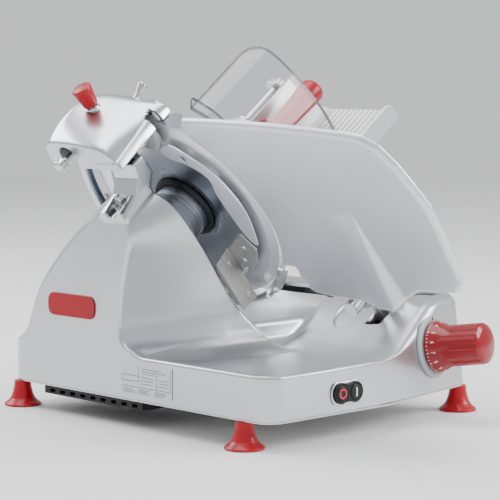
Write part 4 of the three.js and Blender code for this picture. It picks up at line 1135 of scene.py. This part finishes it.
deburring = [(0, 4.5), (11, 4.5), (12, 5.5), (12, 8.6), (11, 9.6), (3, 9.6), (3, 7), (0, 7)]
turned_piece("deburring_stone", deburring, shifted(BLADE, wheel_x, wheel_y, 0), GRIT, 0.4, 64)
softened("edge_guard", 1.2, BLUE_GREY)
CLAMP = shifted(BLADE, 18, 164, 0)
pin_frame = inside(CLAMP, (1, 0, 0), (0, 0, 1), (0, -1, 0), (0, 0, -113))
group("clamp_screw", [
    lathe([(0, -120), (5.4, -120), (7.2, -118.6), (7.6, -117), (7.6, -109), (7, -108), (4, -107), (4, -60.3),
           (0, -60.3)], CLAMP, 0.6, 64),
    lathe([(0, -12), (1.6, -12), (1.8, -11), (1.8, 11), (1.6, 12), (0, 12)], pin_frame, 0.4, 24),
], CHROME)
ARM_EDGE = polygon_grid([(69, -112), (74, -57), (93, -36.3), (122.6, -38), (122.6, -61), (105, -66),
                         (90, -82), (84, -112)], 20)
ARM_MIDDLE = -18   # the arm's middle and its bolt, rearwards


def sharpener_arm(x, y, z):
    """The cast arm that carries the cover, with a rounded pocket round its bolt."""
    body = round_inter(ARM_EDGE(y, z), within((x, ARM_MIDDLE, 22)), 5)
    foot = round_inter(np.maximum(y - 80, 68 - y), within((x, ARM_MIDDLE, 24), (z, -86, 28)), 4)
    body = round_union(body, foot, 8)
    along = np.clip((y - 92) / 26, 0, 1)
    pocket = np.maximum(length2(x + 19 + 5 * along, y - 92 - 26 * along) - 13, z + 85 - 0.8 * (y - 90))
    body = round_inter(body, -pocket, 2.5)
    return np.maximum(body, -np.maximum(length2(x - ARM_MIDDLE, y - 89) - 8, z + 86)).astype(np.float32)


field_piece("sharpener_arm_cast", sharpener_arm, (-46, 64, -120), (10, 128, -30),
            1.2, BLADE, COVER, "sharpener_arm")
turned_piece("arm_bolt", [(0, -94), (5, -94), (6.5, -92.6), (6.5, -86.3), (0, -86.3)],
             shifted(BLADE, ARM_MIDDLE, 89, 0), TURNED, 0.6, 6)

# ---- gauge plate ----
GAUGE_LINE = [
    (-113, 153), (-168, 152), (-261, 148), (-366, 139), (-396, 134), (-415, 121), (-430, 93), (-440, 61),
    (-447, 30), (-446, -5), (-443, -30), (-440, -73), (-442, -83), (-422, -104), (-361, -108), (-334, -122),
    (-314, -135), (-254, -137), (-174, -131), (-164, -124), (-166, -112), (-156, -104), (-161, -88),
    (-100, -88), (-60, 0), (-80, 153),
]
GAUGE_EDGE = polygon_grid(smooth(soften(GAUGE_LINE, 9, steps=3), 2), 12)


def gauge_plate(x, y, z):
    """The plate's face is at z = -1. Its back rolls over at the rim, with a fold low down."""
    outline = np.maximum(GAUGE_EDGE(x, y), 160 - length2(x, y))
    low = np.clip((16 - y) / 150, 0, 1)
    fold = step(x, -319 - 18 * low, -318 + 6 * low) * low * (1 - step(x, -305, -245))
    groove = (1 - step(length2(x + 3, y), 206, 208.5)) * step(y, -125, -100) * (1 - step(y, 0, 40))
    back = -10 - 12 * fold + 1.3 * groove
    shape = round_inter(outline, back - z, 7)
    return round_inter(shape, z + 1, 1.6).astype(np.float32)


field_piece("gauge_plate_cast", gauge_plate, (-452, -142, -24), (-106, 158, 2),
            1.5, BLADE, PLATE, "gauge_plate")
GAUGE_ROD = shifted(BLADE, *GAUGE_ROD_PLACE, 0)
turned_piece("gauge_rod", [(0, 22), (10, 22), (11, 23), (11, 127), (10, 128), (0, 128)], GAUGE_ROD,
             TURNED, 0.4, 64)
softened("gauge_arm", 1.2, ALUMINIUM)

# ---- thickness control ----
turned_piece("knob_index_ring", [(11, 0.3), (40, 0.3), (40, 3.5), (37.5, 5.5), (11, 5.5)], KNOB, GREY,
             0.8, 120)
frame_piece("index_mark", box_shape(-1, 1, 34.8, 39, 5.3, 6.1, KNOB, 0.2), INK, "black_plastic")


FLUTE_RADIUS, FLUTE_CENTRE = 9, 34   # the flutes are circles round the knob


def flutes(r, z, angle):
    """Eight round-bottomed flutes along the grip, fading out at the skirt."""
    off = (angle + math.pi / 8) % (math.pi / 4) - math.pi / 8
    reach = FLUTE_RADIUS ** 2 - (FLUTE_CENTRE * math.sin(off)) ** 2
    if reach <= 0 or r <= 20:
        return 0.0
    depth = max(0.0, r - (FLUTE_CENTRE * math.cos(off) - math.sqrt(reach)))
    return depth * float(step(z, 29, 38))


grip_line = [(27, z) for z in np.arange(30, 75, 2.5)]
knob_line = [(0, 7), (33, 7), (34.5, 9), (33.6, 12), (32, 16.5), (30, 20.5), (28.2, 24.5), (27.3, 28),
             *grip_line, (26.6, 76), (25.4, 77.8), (23.5, 79), (20, 80.6), (12, 82.4), (0, 83)]
turned_piece("thickness_knob", knob_line, KNOB, DEEP_RED, 0.7, 320, wave=flutes)


SCALE_RADIUS = 32


def skirt_surface(u, v, h):
    """u runs round the skirt and v up it, both in mm."""
    z = 9.6 + v
    radius = float(np.interp(z, [9, 12, 16.5, 20.5, 24.5], [34.5, 33.6, 32, 30, 28.2])) + h
    angle = u / SCALE_RADIUS
    return radius * math.cos(angle), radius * math.sin(angle), z


STEP_ANGLE = 2 * math.pi / 44
SCALE_START = 0.3
tick_lines = []
for i in range(38):
    u = SCALE_RADIUS * (i * STEP_ANGLE + SCALE_START)
    tick_lines.append([(u, 0.4), (u, 3.4 if i % 3 == 0 else 2.0)])
numbers = [strokes(tick_lines, 0.7, 0.2, skirt_surface)]
for i in range(13):
    u = SCALE_RADIUS * (3 * i * STEP_ANGLE + SCALE_START)
    numbers.append(digits(str(i), 6.4, 0.2, skirt_surface, (u, 8.2)))
marks("knob_scale", joined(numbers), KNOB, WHITE, "thickness_knob", "white_plastic")
turned_piece("knob_shaft", [(0, -104), (8, -104), (8, 28.5), (7, 29.5), (0, 29.5)], KNOB, TURNED, 0.4, 48)
cam = slab(circle(6, 0, 22, 64), -104, -94, KNOB, 0.6)
piece("knob_shaft_cam", *cam, TURNED, (), body=NODES["knob_shaft"]["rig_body"])

# ---- carriage ----
WING = [(-2, -75), (12, -73), (25, -66), (38, -53), (47, -38), (52, -22)]
top_line = []
RIBS = 12
rib_start = -113.7
rib_pitch = (-2 + 113.7) / RIBS
for i in range(RIBS):
    for part in np.linspace(0, 1, 13)[:-1]:
        wave = 1.6 * (0.5 + 0.5 * math.cos(2 * math.pi * (part - 0.85))) ** 1.4
        top_line.append((rib_start + (i + part) * rib_pitch, -75 - wave))
wing_top = smooth(WING, 6, closed=False)
wing_under = zip(WING, (0, 0, 1.5, 3, 4, 4), (6, 6, 5, 4, 3, 0))
wing_low = smooth([(x + dx, y - dy) for (x, y), dx, dy in wing_under], 6, closed=False)
table_line = np.concatenate([top_line, wing_top, wing_low[::-1], [(rib_start, -81)]])
plate_piece("carriage_table", table_line[::-1], 6, 298, BLADE, TABLE, 0.5)
wall_line = np.concatenate([[(-89, 6), (-61, 6)], arc(-75, 286, 14, np.arange(0, 91, 6)), [(-89, 300)]])
plate_piece("carriage_end_wall", wall_line, -118, -114, SIDEWAYS, LIGHT, 1.2)

GUARD_LINE = [(-118.3, -88), (-118.3, -60), (-125, -34), (-128, -8), (-126, 22), (-120, 48), (-107, 84),
              (-90, 113), (-68, 131)]


def hand_guard():
    """The bent clear sheet, with one rounded corner, and the bar along its rim."""
    line = smooth(GUARD_LINE, 6, closed=False)
    run = np.concatenate([[0], np.cumsum(np.linalg.norm(np.diff(line, axis=0), axis=1))])
    tangent = unit(np.gradient(line, run, axis=0))
    outward = np.stack([-tangent[:, 1], tangent[:, 0]], 1)
    radius = 26
    end = run[-1]
    corner = end - radius * (1 - np.sin(np.radians(np.arange(0, 91, 7.5))))
    samples = np.unique(np.concatenate([run, corner]))
    across = np.linspace(0, 1, 15)
    rows = []
    for s in samples:
        p = np.array([np.interp(s, run, line[:, k]) for k in (0, 1)])
        o = np.array([np.interp(s, run, outward[:, k]) for k in (0, 1)])
        into = max(0.0, s - (end - radius))
        far = 180 - (radius - math.sqrt(max(radius ** 2 - into ** 2, 0)))
        low = 44.3 if s > 82 else 40
        rows.append((p, o, low, far))
    points = []
    for depth in (0.8, 3.2):
        for p, o, low, far in rows:
            for w in across:
                q = p + o * depth
                points.append((q[0], q[1], low + (far - low) * w))
    n, m = len(rows), len(across)
    faces = []
    for i in range(n - 1):
        for j in range(m - 1):
            a = i * m + j
            faces.append([a, a + 1, a + m + 1, a + m])
            b = n * m + a
            faces.append([b, b + m, b + m + 1, b + 1])
    border = [j for j in range(m)] + [i * m + m - 1 for i in range(1, n)]
    border += [(n - 1) * m + j for j in range(m - 2, -1, -1)] + [i * m for i in range(n - 2, 0, -1)]
    for a, b in zip(border, border[1:] + border[:1]):
        faces.append([b, a, n * m + a, n * m + b])
    rim = [(np.array(points[j]) + np.array(points[n * m + j])) / 2 for j in border]
    return (place(points, BLADE), faces), tube_along(rim, 1.35, BLADE, 10, True)


def strip(line, thickness):
    """The outline of a strip along one side of a line."""
    line = np.asarray(line, float)
    tangent = unit(np.gradient(line, axis=0))
    outward = np.stack([-tangent[:, 1], tangent[:, 0]], 1)
    return np.concatenate([line, (line + outward * thickness)[::-1]])


lip_line = smooth(GUARD_LINE[4:], 5, closed=False)
lip_outline = soften(strip(lip_line, 22), 3)
lip_shape = slab(lip_outline[::-1], 40, 43.8, BLADE, 0.8)
guard_sheet, guard_rim = hand_guard()
group("hand_guard", [guard_sheet, lip_shape], CLEAR, sharp=40)
lip_rims = [tube_along([(x, y, z) for x, y in lip_outline], 0.5, BLADE, 8, True) for z in (40.5, 43.3)]
piece("hand_guard_rim", *joined([guard_rim, *lip_rims]), CLEAR_EDGE, (), body=NODES["hand_guard"]["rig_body"],
      slot="clear_plastic")

softened("carriage_arm", 2.2, LIGHT)
softened("carriage_slider", 1.2, DARK)
GUIDE = basis((1, 0, 0), (0, 0, 1), (0, -1, 0), (362, 0, 112))
turned_piece("guide_shaft", [(0, -438), (10, -438), (10, -2), (0, -2)], GUIDE, TURNED, 0.8, 64)

# ---- pusher ----
ROD = shifted(BLADE, 70, -27, 0)
turned_piece("pusher_rod", [(0, 18.3), (6, 18.3), (6, 279.7), (0, 279.7)], ROD, TURNED, 0.6, 56)
block = soften([(57, -38), (80, -38), (84, -34), (84, -20), (80, -15), (62, -15), (57, -20)], 4)
plate_piece("rod_block_lower", block, 8, 18, BLADE, LIGHT, 1.4)
plate_piece("rod_block_upper", block, 280, 293, BLADE, LIGHT, 2.0)
turned_piece("pusher_bush", [(6.3, 168), (14, 168), (14, 171.7), (10, 171.7), (10, 200.3), (14, 200.3),
             (14, 204), (6.3, 204)], ROD, TURNED, 0.6, 64)
sleeve = lathe([(10.3, 172), (14, 172), (14, 200), (10.3, 200)], ROD, 0.6, 64)
beam_line = smooth([(76.5, -15.5), (72, -6), (58, 2), (36, 2), (12, -8), (-18, -13), (-20, -42), (2, -43),
                    (18, -37), (34, -18), (52, -14), (58, -18.5)], 4)
beam = slab(beam_line, 172, 181, BLADE, 1.8)
group("pusher_arm", [sleeve, beam], LIGHT)
plate_piece("pusher_plate", rounded(96, 62, 8, -41, -39), 164, 171.7, BLADE, LIGHT, 1.6)
handle = [(0, 181.3), (25.6, 181.3), (27, 182.4), (26.6, 184), (22, 186), (16.6, 189), (14, 193.5),
          (13.6, 200), (14.3, 215), (15.6, 238), (17.2, 262), (18, 273), (17.4, 279.5), (15.4, 283.6),
          (11.5, 286), (6, 287), (0, 287)]
turned_piece("pusher_handle", handle, shifted(BLADE, -3, -28, 0), RED, 1.2, 80)

# ---- scene ----
left_over = [name for name, node in NODES.items() if not node.hide_render]
if left_over:
    print("still plain:", left_over)


def light(name, at, target, size, power):
    lamp = bpy.data.lights.new(name, "AREA")
    lamp.shape = "RECTANGLE"
    lamp.size, lamp.size_y = size
    lamp.energy = power
    obj = bpy.data.objects.new(name, lamp)
    bpy.context.scene.collection.objects.link(obj)
    obj.location = at
    direction = Vector(target) - Vector(at)
    obj.rotation_mode = "QUATERNION"
    obj.rotation_quaternion = direction.to_track_quat("-Z", "Y")


def stage_floor():
    radius, count = 6.0, 64
    points = [(x, y, 0.0) for x, y in circle(0, 0, radius, count)]
    mesh = bpy.data.meshes.new("floor")
    mesh.from_pydata(points, [], [list(range(count))])
    floor = bpy.data.objects.new("floor", mesh)
    bpy.context.scene.collection.objects.link(floor)
    n = Nodes("floor")
    cloud = n.noise(1.5, 3)
    n.connect(n.ramp(cloud, (0.90, 0.90, 0.90, 1), (0.92, 0.92, 0.92, 1)), "Base Color")
    n.shader.inputs["Roughness"].default_value = 0.75
    mesh.materials.append(n.material)


stage_floor()
world = bpy.data.worlds.new("studio")
bpy.context.scene.world = world
world.use_nodes = True
world.node_tree.nodes["Background"].inputs["Color"].default_value = (0.97, 0.98, 1.0, 1)
world.node_tree.nodes["Background"].inputs["Strength"].default_value = 0.8
light("key", (1.9, -2.3, 1.9), (0, 0, 0.2), (1.8, 1.3), 100)
light("rear", (-0.8, 2.5, 2.1), (0, 0, 0.2), (1.8, 1.3), 55)
light("top", (-0.2, 0.3, 2.6), (0, 0, 0.1), (2.0, 2.0), 55)

EYE_PLACE = (-1595.4, -1673.0, 450.0)
EYE_ACROSS, EYE_DOWN = math.radians(43.8), math.radians(5.2)
camera = bpy.data.cameras.new("camera")
camera.sensor_width = 36
camera.lens = 140.6
eye = bpy.data.objects.new("camera", camera)
bpy.context.scene.collection.objects.link(eye)
bpy.context.scene.camera = eye
eye.location = Vector(place([EYE_PLACE], WORLD)[0])
across, down = EYE_ACROSS, EYE_DOWN
toward = Vector((math.sin(across) * math.cos(down), math.cos(across) * math.cos(down), -math.sin(down)))
eye.rotation_mode = "QUATERNION"
eye.rotation_quaternion = toward.to_track_quat("-Z", "Y")
camera.clip_start, camera.clip_end = 0.05, 50
